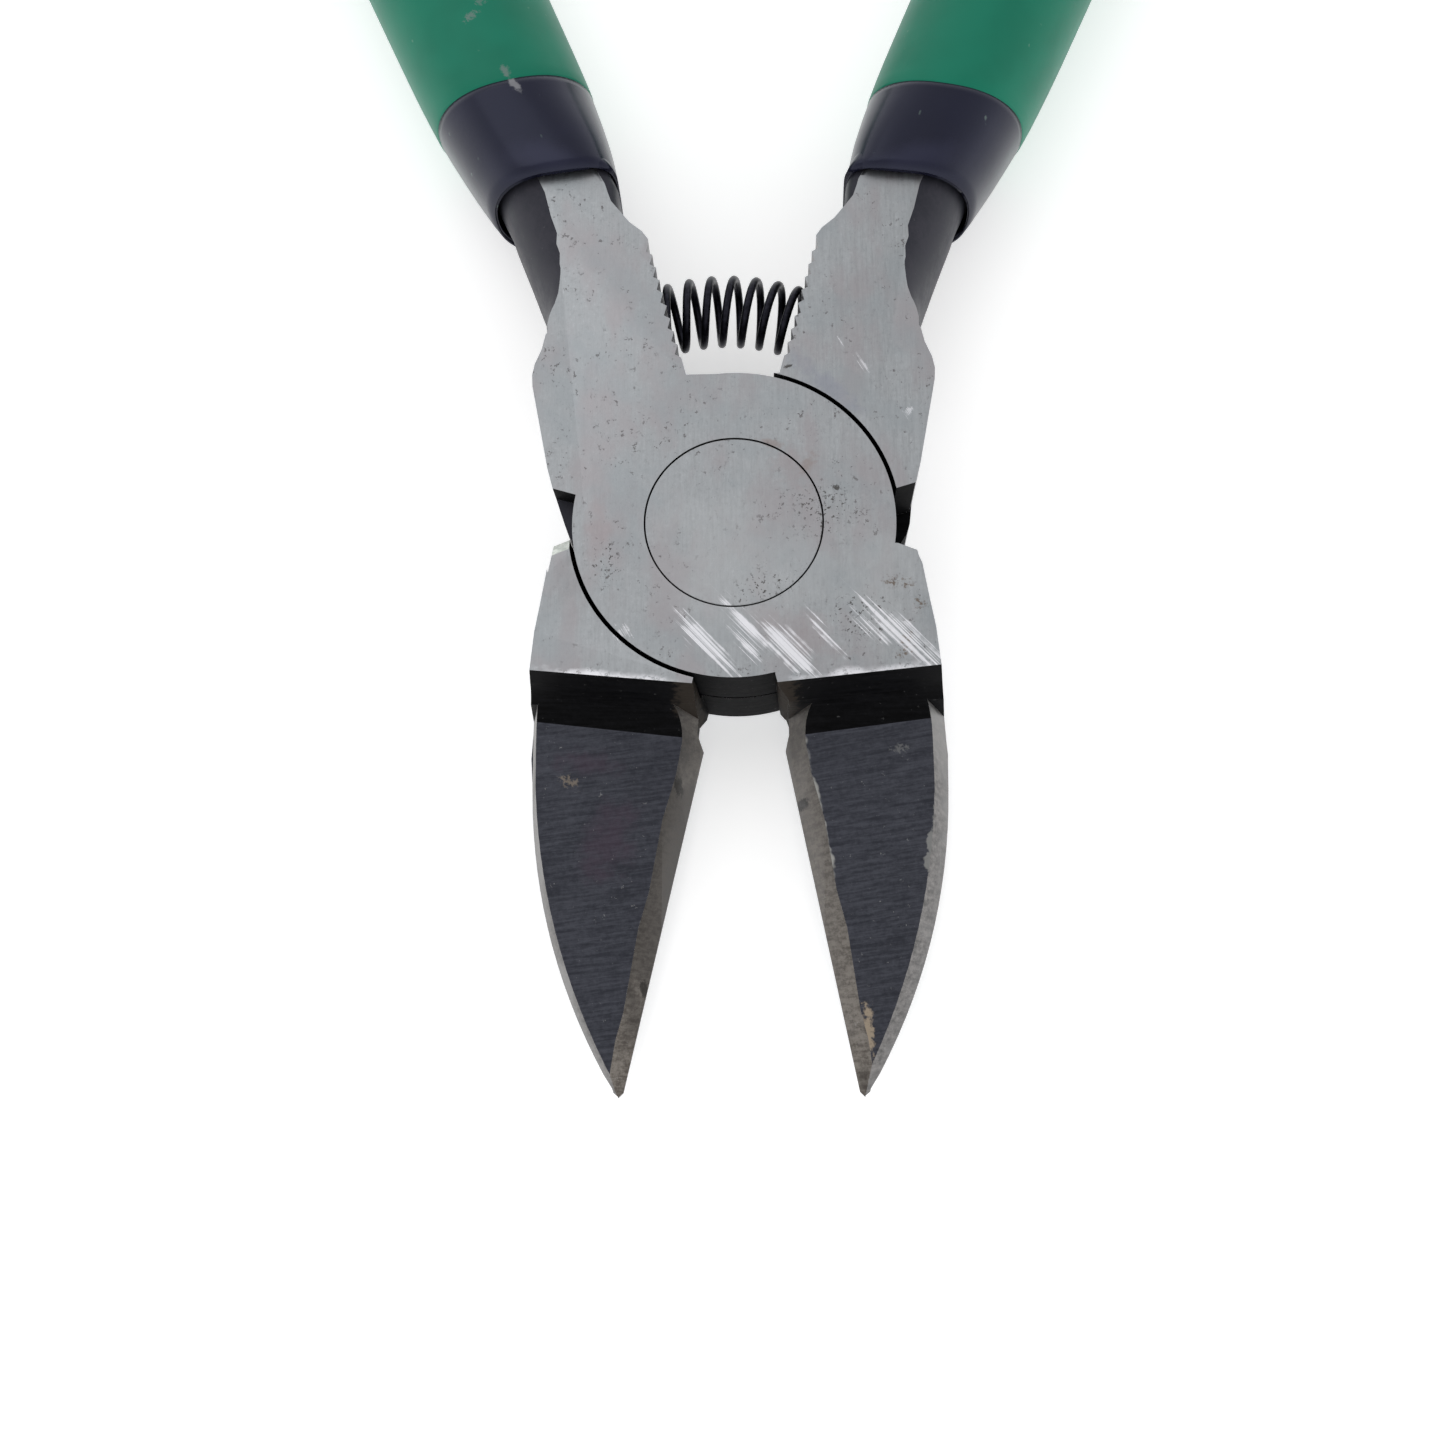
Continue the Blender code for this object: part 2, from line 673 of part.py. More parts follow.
def rivet_profile(gap):
    """Outer side of the rivet from top to bottom, grown by a gap."""
    head = RIVET_HEAD_RADIUS + gap
    shank = RIVET_SHANK_RADIUS + gap
    top = THICKNESS + (OVERSHOOT if gap else 0.0)
    bottom = -OVERSHOOT if gap else 0.0
    head_low = THICKNESS - RIVET_HEAD_DEPTH - gap
    cone_low = head_low - RIVET_CONE_DEPTH
    return [(0.0, top), (head, top), (head, head_low), (shank, cone_low),
            (shank, THICKNESS - cone_low), (head, THICKNESS - head_low), (head, bottom), (0.0, bottom)]


def box_solid(name, low, high, collection):
    """A box between two corners."""
    size = Vector(high) - Vector(low)
    middle = (Vector(high) + Vector(low)) / 2
    mesh_data = bmesh.new()
    bmesh.ops.create_cube(mesh_data, size=1.0)
    bmesh.ops.scale(mesh_data, vec=size * MM, verts=mesh_data.verts)
    bmesh.ops.translate(mesh_data, vec=middle * MM, verts=mesh_data.verts)
    return mark_as_cutter(object_from_bmesh(name, mesh_data, collection))


def joint_cylinder(name, radius, low, high, collection):
    """A round slab about the pivot axis."""
    profile = [(0.0, high), (radius, high), (radius, low), (0.0, low)]
    return mark_as_cutter(turned_solid(name, profile, DISC_SEGMENTS, collection))


def recess_cutter(name, layer, collection):
    """Room for the other half's disc, in the other layer."""
    if layer == "upper":
        low = -OVERSHOOT
        high = MID_HEIGHT + LAYER_GAP / 2
    else:
        low = MID_HEIGHT - LAYER_GAP / 2
        high = THICKNESS + OVERSHOOT
    return joint_cylinder(name, DISC_RADIUS + RADIAL_GAP, low, high, collection)


def lug_solid(name, layer, collection):
    """The stop beside the disc, behind the other half's jaw."""
    outline = UPPER_LUG if layer == "upper" else LOWER_LUG
    top = UPPER_LUG_TOP if layer == "upper" else MID_HEIGHT - LAYER_GAP / 2
    return mark_as_cutter(outline_solid(name, mirrored(outline, SIDES[layer]), -OVERSHOOT, top, collection))


def steel_half(name, layer, material, collection, cutters):
    """One forged half: handle on its own side, joint disc in its layer, jaw on the other side."""
    tang_side = SIDES[layer]
    jaw_side = -tang_side
    low = -OVERSHOOT
    high = THICKNESS + OVERSHOOT
    half = outline_solid(name, mirrored(tang_outline(), tang_side), low, high, collection)
    half.name = name
    half.data.materials.append(material)
    for solid in (
        joint_cylinder(name + "_disc", DISC_RADIUS, low, high, cutters),
        jaw_solid(name + "_jaw", layer, jaw_side, cutters),
        core_solid(name + "_core", tang_side, cutters),
        lug_solid(name + "_lug", layer, cutters),
    ):
        combine(half, solid, "UNION")
    combine(half, box_solid(name + "_limits", LIMIT_LOW, LIMIT_HIGH, cutters), "INTERSECT")
    for cutter in (
        recess_cutter(name + "_recess", layer, cutters),
        blade_top_cutter(name + "_blade_top", jaw_side, cutters),
        edge_bevel_cutter(name + "_edge_bevel", layer, jaw_side, cutters),
        flank_cutter(name + "_flank", layer, jaw_side, cutters),
        spring_seat_cutter(name + "_seat", layer, cutters),
        mark_as_cutter(turned_solid(name + "_hole", rivet_profile(RIVET_GAP), RIVET_SEGMENTS, cutters)),
    ):
        combine(half, cutter, "DIFFERENCE")
    return half


def pivot_rivet(material, collection):
    """The flush rivet that the halves turn on."""
    rivet = turned_solid("pivot_rivet", rivet_profile(0.0), RIVET_SEGMENTS, collection)
    rivet.data.materials.append(material)
    return rivet


def spring_point(run):
    """Point on the wire's centre line, at a distance along the axis from the crest."""
    point, direction = spring_axis(run)
    lean = SPRING_LEAN + math.atan2(direction.y, direction.x) * SPRING_LEAN_SHARE
    sideways = Vector((-math.sin(lean), math.cos(lean), 0.0))
    angle = SPRING_PHASE - 2 * math.pi * run / SPRING_PITCH
    return point + (sideways * math.cos(angle) + Vector((0.0, 0.0, math.sin(angle)))) * SPRING_RADIUS


def return_spring(material, collection):
    """The bowed compression coil between the two tangs."""
    curve = bpy.data.curves.new("return_spring", "CURVE")
    curve.dimensions = "3D"
    curve.bevel_depth = SPRING_WIRE_RADIUS * MM
    curve.bevel_resolution = SPRING_BEVEL_RESOLUTION
    curve.use_fill_caps = True
    start = SPRING_REACH["upper"]
    length = SPRING_REACH["lower"] - start
    steps = round(length / SPRING_PITCH * SPRING_STEPS_PER_TURN)
    spline = curve.splines.new("POLY")
    spline.points.add(steps)
    for index in range(steps + 1):
        spline.points[index].co = (*(spring_point(start + length * index / steps) * MM), 1.0)
    item = bpy.data.objects.new("return_spring_curve", curve)
    collection.objects.link(item)
    bpy.context.view_layer.update()
    spring = mesh_from_curve(item, collection)
    spring.name = "return_spring"
    spring.data.materials.append(material)
    return spring


# ---------------------------------------------------------------- grips


def sleeve_solid(name, outer_rings, inner_rings, side, material, collection):
    """A tube open at the front and closed at the end of the handle."""
    mesh_data = bmesh.new()
    outer = [add_ring(mesh_data, ring) for ring in on_side(outer_rings, side)]
    inner = [add_ring(mesh_data, ring) for ring in on_side(inner_rings, side)]
    for skin in (outer, inner):
        for first, second in zip(skin, skin[1:]):
            bridge_rings(mesh_data, first, second)
        mesh_data.faces.new(skin[-1])
    bridge_rings(mesh_data, outer[0], inner[0])
    sleeve = object_from_bmesh(name, mesh_data, collection)
    sleeve.data.materials.append(material)
    sleeve.data.shade_smooth()
    return sleeve


def inner_sleeve(layer, material, collection):
    """The first dipped layer, seen as a collar in front of the outer one."""
    lip_y = LIP_Y[layer]
    break_y = COLOUR_BREAK_Y[layer]
    collar = []
    for share in COLLAR_SHARES:
        y = lip_y + (break_y - COLLAR_STEP - lip_y) * share
        tilt = LIP_TILT + (COLOUR_BREAK_TILT - LIP_TILT) * share
        collar.append(handle_ring(y, grip_size(), tilt, table(LIP_PINCH)))
    covered_size = grip_size(OUTER_SKIN + GRIP_GAP)
    covered = handle_rings(break_y - GRIP_GAP, INNER_END_Y, GRIP_STATIONS, covered_size, COLOUR_BREAK_TILT)
    covered += domed_end(INNER_END_Y, covered_size, INNER_DOME)
    bore_size = core_size(GRIP_POINTS, BORE_GAP)
    bore = [handle_ring(lip_y, bore_size, LIP_TILT)]
    bore += handle_rings(CORE_FLAT_END_Y, BORE_END_Y, GRIP_STATIONS, bore_size, LIP_TILT)
    name = "inner_sleeve_" + layer
    return sleeve_solid(name, collar + covered, bore, SIDES[layer], material, collection)


def outer_sleeve(layer, material, collection):
    """The thicker coloured layer over the rest of the handle."""
    front = COLOUR_BREAK_Y[layer]
    outside = handle_rings(front, OUTER_END_Y, GRIP_STATIONS, grip_size(), COLOUR_BREAK_TILT)
    outside += domed_end(OUTER_END_Y, grip_size(), OUTER_DOME)
    bore_size = grip_size(OUTER_SKIN)
    inside = handle_rings(front, OUTER_BORE_END_Y, GRIP_STATIONS, bore_size, COLOUR_BREAK_TILT)
    inside += domed_end(OUTER_BORE_END_Y, bore_size, OUTER_BORE_DOME)
    name = "outer_sleeve_" + layer
    return sleeve_solid(name, outside, inside, SIDES[layer], material, collection)


def build():
    """Make every part of the cutter."""
    clear_scene()
    parts = new_collection("flush_cutter")
    cutters = new_collection("cutters")
    ground_steel = new_material("ground_steel", (0.33, 0.34, 0.36), 0.4, 1.0)
    spring_steel = new_material("spring_steel", (0.02, 0.02, 0.03), 0.35, 0.9)
    black_vinyl = new_material("black_vinyl", (0.02, 0.02, 0.03), 0.35, 0.0)
    green_vinyl = new_material("green_vinyl", (0.018, 0.2, 0.12), 0.35, 0.0)
    steel_half("half_upper", "upper", ground_steel, parts, cutters)
    steel_half("half_lower", "lower", ground_steel, parts, cutters)
    pivot_rivet(ground_steel, parts)
    return_spring(spring_steel, parts)
    for layer in SIDES:
        inner_sleeve(layer, black_vinyl, parts)
        outer_sleeve(layer, green_vinyl, parts)


build()
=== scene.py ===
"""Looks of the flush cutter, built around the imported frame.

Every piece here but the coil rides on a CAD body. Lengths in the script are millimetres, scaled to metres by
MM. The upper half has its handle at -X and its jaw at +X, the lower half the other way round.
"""

import math

import bmesh
import bpy
from mathutils import Matrix
from mathutils import Vector


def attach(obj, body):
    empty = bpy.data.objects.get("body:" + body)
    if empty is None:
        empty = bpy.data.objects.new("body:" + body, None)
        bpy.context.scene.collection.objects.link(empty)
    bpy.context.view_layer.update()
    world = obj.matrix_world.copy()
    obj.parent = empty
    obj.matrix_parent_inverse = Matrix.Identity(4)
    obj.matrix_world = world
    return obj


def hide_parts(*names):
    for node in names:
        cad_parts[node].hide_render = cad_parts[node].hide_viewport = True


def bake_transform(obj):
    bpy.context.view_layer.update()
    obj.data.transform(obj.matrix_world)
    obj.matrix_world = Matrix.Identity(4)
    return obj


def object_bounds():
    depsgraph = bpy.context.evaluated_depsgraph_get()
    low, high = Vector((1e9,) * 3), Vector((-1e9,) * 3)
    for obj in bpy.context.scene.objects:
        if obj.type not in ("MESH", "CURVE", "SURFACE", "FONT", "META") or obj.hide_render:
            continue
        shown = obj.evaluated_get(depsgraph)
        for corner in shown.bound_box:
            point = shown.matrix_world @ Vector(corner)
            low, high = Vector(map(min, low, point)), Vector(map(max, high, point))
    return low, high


MM = 0.001

# Camera, fitted to the reference view of the joint
CAMERA_PLACE = (2.0655, -32.7243, 91.7793)
CAMERA_RIGHT = (0.999415, -0.004302, -0.033923)
CAMERA_UP = (0.012534, 0.969096, 0.246365)
SENSOR_WIDTH = 36.0
LENS_LENGTH = 39.8616

# Studio
WHITE = (1.0, 1.0, 1.0, 1.0)
HORIZON_LIGHT = 1.45
ZENITH_LIGHT = 0.6
KEY_PLACE = (-250.0, 250.0, 600.0)
KEY_SIZE = 500.0
KEY_POWER = 0.5
FLOOR_REACH = 2000.0
FLOOR_DROP = 0.05
FLOOR_COLOUR = (0.93, 0.93, 0.93, 1.0)
FLOOR_ROUGHNESS = 0.7
FLOOR_GLOW = 0.4

# Frame facts
HANDLE_SIDE = {"upper": -1, "lower": 1}
TOP_Z = 8.5
MID_HEIGHT = TOP_Z / 2
BLADE_TOP_MAX_Z = 5.2
STEP_Y = -9.0
JAW_START_Y = STEP_Y + 1.0
BLADE_ROOT_Y = -9.4
TANG_START_Y = 10.4
TANG_FACE_X = 6.3
NECK_X = 3.4
NECK_END_Y = -12.5
RIVET_HOLE_RADIUS = 5.1
LUG_END_Y = 4.0
CHAMFER_END_Y = 2.0
JOINT_RADIUS = 9.6
JOINT_BACK_Y = 8.9
STEP_SLANT = 0.098

# The handle line and the grips' sizes, as in the CAD source
HANDLE_CURVE = ((8.6, 17.5), (23.5, 50.3), (35.5, 79.0), (38.0, 114.0))
SECTION_START_Y = 21.0
SQUARE_UP_Y = 44.0
LIP_TURN = 0.3
LIP_Y = {"upper": 22.1, "lower": 21.65}
LIP_TILT = -0.06
COLOUR_BREAK_Y = {"upper": 28.65, "lower": 27.65}
BREAK_TILT = -0.1
GRIP_WIDTH = ((18.0, 3.4), (22.0, 3.9), (25.0, 4.42), (29.4, 4.93), (37.0, 5.18), (65.0, 5.85),
              (90.0, 5.75), (106.0, 5.3), (112.0, 4.9))
GRIP_HEIGHT = ((18.0, 4.85), (21.2, 4.9), (29.4, 5.15), (37.0, 5.3), (65.0, 5.6), (90.0, 5.5), (112.0, 4.9))
CORE_WIDTH = ((21.0, 3.32), (22.2, 3.38), (25.0, 3.3), (29.4, 3.1), (45.0, 3.1), (110.0, 2.4))
CORE_HEIGHT = ((20.9, 4.279), (22.8, 4.264), (25.0, 4.05), (29.4, 3.4), (45.0, 3.2), (110.0, 2.6))
INNER_POWER = ((21.2, 4.6), (28.0, 2.4), (45.0, 2.3))
CORE_INNER_POWER = ((21.2, 9.0), (25.0, 4.0), (29.4, 2.6))
OUTER_POWER = 2.3
LIP_PINCH = ((21.0, 0.93), (23.5, 0.98), (26.0, 1.0))
BORE_GAP = 0.28
LIP_ROUNDING = 0.26
FRONT_ROUNDING = 0.3
FRONT_OVERLAP = 0.35
FRONT_RISE = 0.04
OUTER_SKIN = 0.75
SKIN_GAP = 0.2
INNER_END_Y = 109.5
OUTER_END_Y = 111.0
BORE_END_Y = 107.6
DOME_LENGTH = {"bore": 0.5, "inner": 3.0, "outer": 4.6, "outer_bore": 3.4}

# How finely the grips are drawn
GRIP_POINTS = 72
GRIP_STATIONS = 44
STATION_CROWDING = 1.3
TILT_FADE_POWER = 4
DOME_STEPS = 8
FRONT_ANGLES = (15, 35, 55, 75)
COLLAR_STEPS = 12
COLLAR_SHORTFALL = 0.1
COVERED_SKIN_START = 0.15
BORE_START = 0.02
HANDLE_SEARCH = (-0.05, 1.05)
HANDLE_SEARCH_STEPS = 30

# The spring, as in the CAD source
SPRING_RADIUS = 1.9
SPRING_WIRE_RADIUS = 0.24
SPRING_PITCH = 1.24
SPRING_CREST = (-0.6, 15.15)
SPRING_BOW_RADIUS = 11.0
SPRING_BOW_REACH = 3.2
SPRING_ENDS = (-6.7, 7.9)
SPRING_LEAN = math.radians(-2.5)
SPRING_LEAN_SHARE = 0.6
SPRING_START_ANGLE = math.pi
SPRING_STEPS_PER_TURN = 28
SPRING_WIRE_RESOLUTION = 4
SPRING_WELD = 0.001

# How the steel pieces' CAD shapes are cleaned and softened
STEEL_WELD = 0.005
MERGE_ANGLE = math.radians(0.1)
SHARP_ANGLE = math.radians(28)
EDGE_SOFTENING = 0.06
EDGE_SEGMENTS = 2

# Limits that sort a steel face into its finish, as parts of its unit normal, and one distance
LEVEL = 0.9
BLADE_LEVEL = 0.93
FACING_ALONG = 0.3
LEANING_SIDEWAYS = 0.25
LOOKING_UP = 0.15
BARELY_UP = 0.05
PLANE_TOLERANCE = 0.05
# "black" among these finishes is painted shade
STEEL_FINISHES = ("top", "under", "edge", "chamfer", "wall", "black", "oxide", "bevel", "flank", "forged")
RIVET_FINISHES = ("top", "under")

# Noises: how often they vary per millimetre along X, Y and Z, and their settings
GROUND_LINES = {"scale": (8.0, 0.5, 1.0), "detail": 5.0, "roughness": 0.75}
GROUND_GRAIN = {"scale": (5.0, 4.0, 5.0), "detail": 4.0, "roughness": 0.8}
WARM_CLOUDS = {"scale": (0.5, 0.22, 0.3), "detail": 3.0}
COOL_CLOUDS = {"scale": (0.3, 0.42, 0.3), "turn": 0.6, "detail": 2.0}
PIT_GRAIN = {"scale": (3.0, 2.6, 3.0), "detail": 3.0, "roughness": 0.7}
PIT_AREAS = {"scale": (0.33, 0.36, 0.3), "detail": 2.0}
SCRATCH_HAIRS = {"scale": (7.5, 0.035, 1.0), "detail": 3.0, "roughness": 0.8}
SCRATCH_STREAKS = {"scale": (1.4, 0.03, 1.0), "detail": 2.0, "roughness": 0.6}
RUST_GRAIN = {"scale": (3.6, 3.6, 3.6), "detail": 3.0, "roughness": 0.75}
DOT_GRAIN = {"scale": (4.6, 3.8, 4.0), "detail": 2.0, "roughness": 0.7}
STEP_CHIP_GRAIN = {"scale": (2.4, 3.5, 2.0), "detail": 4.0, "roughness": 0.8}
EDGE_CHIP_GRAIN = {"scale": (2.2, 2.2, 2.2), "detail": 4.0, "roughness": 0.75}
STEEL_GRAIN = {"scale": (3.0, 3.0, 3.0), "detail": 4.0, "roughness": 0.8}
PALE_SPECKS = {"scale": (2.6, 2.6, 2.6), "detail": 3.0, "roughness": 0.75}
VINYL_CLOUDS = {"scale": (0.25, 0.25, 0.25), "detail": 2.0}
VINYL_SPECKS = {"scale": (1.1, 0.9, 1.1), "detail": 2.0}
VINYL_SKIN = {"scale": (0.6, 0.6, 0.6), "detail": 2.0}
CUTTER_LINE_DETAIL = 4.0
CUTTER_LINE_ROUGHNESS = 0.7
PATCH_GRAIN = 2.4
PATCH_RANGE = (0.25, 0.75)

# Strengths of the steel finishes
GROUND_ROUGHNESS = 0.42
GROUND_ROUGHNESS_RANGE = (0.36, 0.5)
LINE_RANGE = (0.3, 0.7)
GRAIN_SHARE = 0.4
ROUGHNESS_DROP = 0.08
ROUGHNESS_RISE = 0.1
PIT_STRENGTH = 0.7
SPOT_STRENGTH = 0.85
SCRATCH_STRENGTH = 0.9
FAINT_SCRATCH_STRENGTH = 0.6
SCRATCH_TURN = math.radians(-43)
FAINT_SCRATCH_TURN = math.radians(-30)
BUNDLE_LIFT = 0.4
STREAK_LIFT = 0.2
SCRATCH_RANGE = (0.9, 1.04)

# Colours
WARM_GREY = (0.34, 0.315, 0.33)
COOL_GREY = (0.30, 0.33, 0.35)
SPECK_GREY = (0.3, 0.3, 0.3)
PIT_BLACK = (0.1, 0.09, 0.09)
SPOT_BLACK = (0.06, 0.055, 0.05)
BRIGHT_STEEL = (0.84, 0.84, 0.88)
PINK = (0.33, 0.275, 0.285)
PALE = (0.48, 0.49, 0.5)
BLUE = (0.25, 0.26, 0.32)
STAIN = (0.27, 0.205, 0.19)
DARK_RUST = (0.13, 0.09, 0.06)
RUST = (0.42, 0.34, 0.25)
CHIPS = (0.4, 0.4, 0.38)
DULL = (0.018, 0.015, 0.014)
GRIME = (0.006, 0.004, 0.003)
VIOLET = (0.075, 0.045, 0.07)
NECK_BROWN = (0.035, 0.028, 0.022)
# Painted sheen: a bluish highlight band on the collar's top just behind its lip
LIP_PAINTED_SHEEN = (0.03, 0.03, 0.06)
GLUE = (0.22, 0.22, 0.23)
VINYL_SPECK = (0.3, 0.42, 0.35)

# Vinyl
VINYL_SPECK_STRENGTH = 0.25
VINYL_SPOT_FADE = 1.5

# Patches of the joint's top face: centre, half lengths, turn, and how soft and ragged the edge is
TOP_TINTS = (
    (PINK, 0.4, (((-7.6, -1.0), (0.9, 3.2), 0.1, 0.8), ((3.4, 3.4), (2.4, 1.4), 0.7, 0.8),
                 ((3.2, -6.4), (3.6, 1.8), 0.4, 0.8))),
    (PALE, 0.3, (((0.5, -2.5), (7.5, 5.5), 0.0, 0.9), ((8.0, -4.0), (3.5, 4.5), 0.0, 0.9))),
    (BLUE, 0.45, (((5.3, 8.2), (3.4, 0.9), 0.75, 0.8),)),
    (STAIN, 0.5, (((2.2, 4.6), (1.0, 0.35), 0.3, 0.8), ((4.2, 3.4), (0.45, 1.1), 0.6, 0.8))),
)
RUST_PATCHES = (
    ((9.0, -3.7), (0.9, 0.4), 0.2, 0.8, 0.7),
    ((9.3, -7.3), (0.6, 1.0), 0.0, 0.8, 0.7),
    ((10.2, -5.0), (0.5, 0.4), 0.0, 0.8, 0.7),
)
DOT_PATCHES = (
    ((1.7, -3.8), (2.6, 1.2), -0.4, 0.8),
    ((-7.2, -2.4), (1.2, 1.8), 0.0, 0.8),
    ((5.2, 0.6), (2.6, 2.2), 0.0, 0.8),
    ((7.0, -5.6), (2.8, 2.2), 0.0, 0.8),
)
DARK_SPOTS = (
    ((5.75, 1.9), (0.26, 0.2), 0.3, 0.6, 0.5),
    ((3.15, 9.35), (0.3, 0.12), -0.3),
)
STEP_CHIPS = (
    ((-6.9, -8.85), (5.3, 0.42), STEP_SLANT, 0.9),
    ((6.9, -8.85), (5.3, 0.5), -STEP_SLANT, 0.9),
)
SCRATCH_BUNDLES = (
    ((-1.6, -7.1), (1.4, 6.0), -0.77),
    ((0.8, -6.7), (1.7, 6.0), -0.65),
    ((3.1, -7.6), (1.4, 5.0), -0.7),
    ((4.9, -6.5), (0.7, 4.4), -0.65),
    ((9.0, -6.7), (2.0, 5.6), -0.8),
)
FAINT_BUNDLES = (
    ((7.3, 9.4), (0.5, 1.7), -0.6),
    ((6.2, 10.8), (0.3, 0.9), -0.4),
    ((9.9, 6.4), (0.5, 0.8), 0.0),
    ((-6.2, -6.4), (1.2, 1.2), 0.3),
)

# Spots of the other finishes: colour, strength and patch
NECK_SPOTS = (
    (NECK_BROWN, 0.7, ((2.6, -9.6), (1.0, 0.9), 0.0)),
    (NECK_BROWN, 0.7, ((-2.6, -9.6), (1.0, 0.9), 0.0)),
)
BLADE_SPOTS = (
    (VIOLET, 0.4, ((-7.3, -17.0), (2.0, 3.5), 0.3, 0.9)),
    (VIOLET, 0.35, ((-8.5, -12.5), (2.5, 1.0), 0.0, 0.9)),
    (RUST, 0.35, ((-9.5, -13.6), (0.6, 0.35), 0.4, 0.9, 0.9)),
    (RUST, 0.8, ((7.05, -27.5), (0.4, 1.7), -0.13, 0.7, 0.8)),
    (CHIPS, 0.8, ((4.85, -16.2), (0.16, 4.2), -0.2, 0.8, 0.9)),
    (CHIPS, 0.25, ((9.2, -11.9), (0.5, 0.25), 0.0, 0.9, 0.9)),
    (CHIPS, 0.5, ((10.75, -17.3), (0.2, 2.2), 0.15, 0.7, 0.9)),
)
BEVEL_SPOTS = (
    (DULL, 0.6, ((-4.6, -20.0), (3.8, 15.0), -0.2, 0.5)),
    (GRIME, 0.85, ((-3.4, -13.7), (0.3, 0.7), 0.0)),
    (GRIME, 0.8, ((-5.4, -25.0), (0.25, 0.6), 0.0)),
    (GRIME, 0.95, ((3.65, -14.55), (0.5, 0.42), 0.0, 0.5, 0.2)),
    (GRIME, 0.3, ((3.0, -11.0), (1.5, 1.8), 0.0, 0.9)),
    (GRIME, 0.3, ((-2.8, -11.4), (1.5, 2.0), 0.0, 0.9)),
    (GRIME, 0.4, ((6.9, -30.0), (0.5, 1.4), 0.0, 0.9)),
)
# Painted bluish sheen behind each collar's lip, and a glue spot
COLLAR_SHEEN_AND_GLUE = (
    (LIP_PAINTED_SHEEN, 0.4, ((-11.0, 22.9), (3.2, 1.3), 0.2, 0.9, 0.1)),
    (LIP_PAINTED_SHEEN, 0.4, ((11.0, 22.3), (3.2, 1.3), -0.2, 0.9, 0.1)),
    (GLUE, 0.8, ((-12.9, 27.7), (0.3, 0.8), -0.6, 0.6, 0.3)),
)
GRIP_SPOTS = (
    (GLUE, 0.5, ((-13.4, 28.5), (0.3, 0.6), -0.4, 0.7, 0.4)),
    (GLUE, 0.5, ((-15.6, 32.3), (0.6, 0.3), -0.6, 0.8, 0.7)),
    (GLUE, 0.35, ((-15.1, 33.3), (0.4, 0.3), 0.2, 0.8, 0.7)),
)

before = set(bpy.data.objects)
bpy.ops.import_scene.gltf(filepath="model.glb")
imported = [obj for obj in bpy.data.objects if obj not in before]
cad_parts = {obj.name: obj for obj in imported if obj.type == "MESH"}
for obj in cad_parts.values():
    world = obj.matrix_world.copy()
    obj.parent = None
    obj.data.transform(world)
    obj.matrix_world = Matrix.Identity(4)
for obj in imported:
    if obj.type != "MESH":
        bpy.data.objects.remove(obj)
CAD_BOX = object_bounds()


# ---------------------------------------------------------------- shader helpers


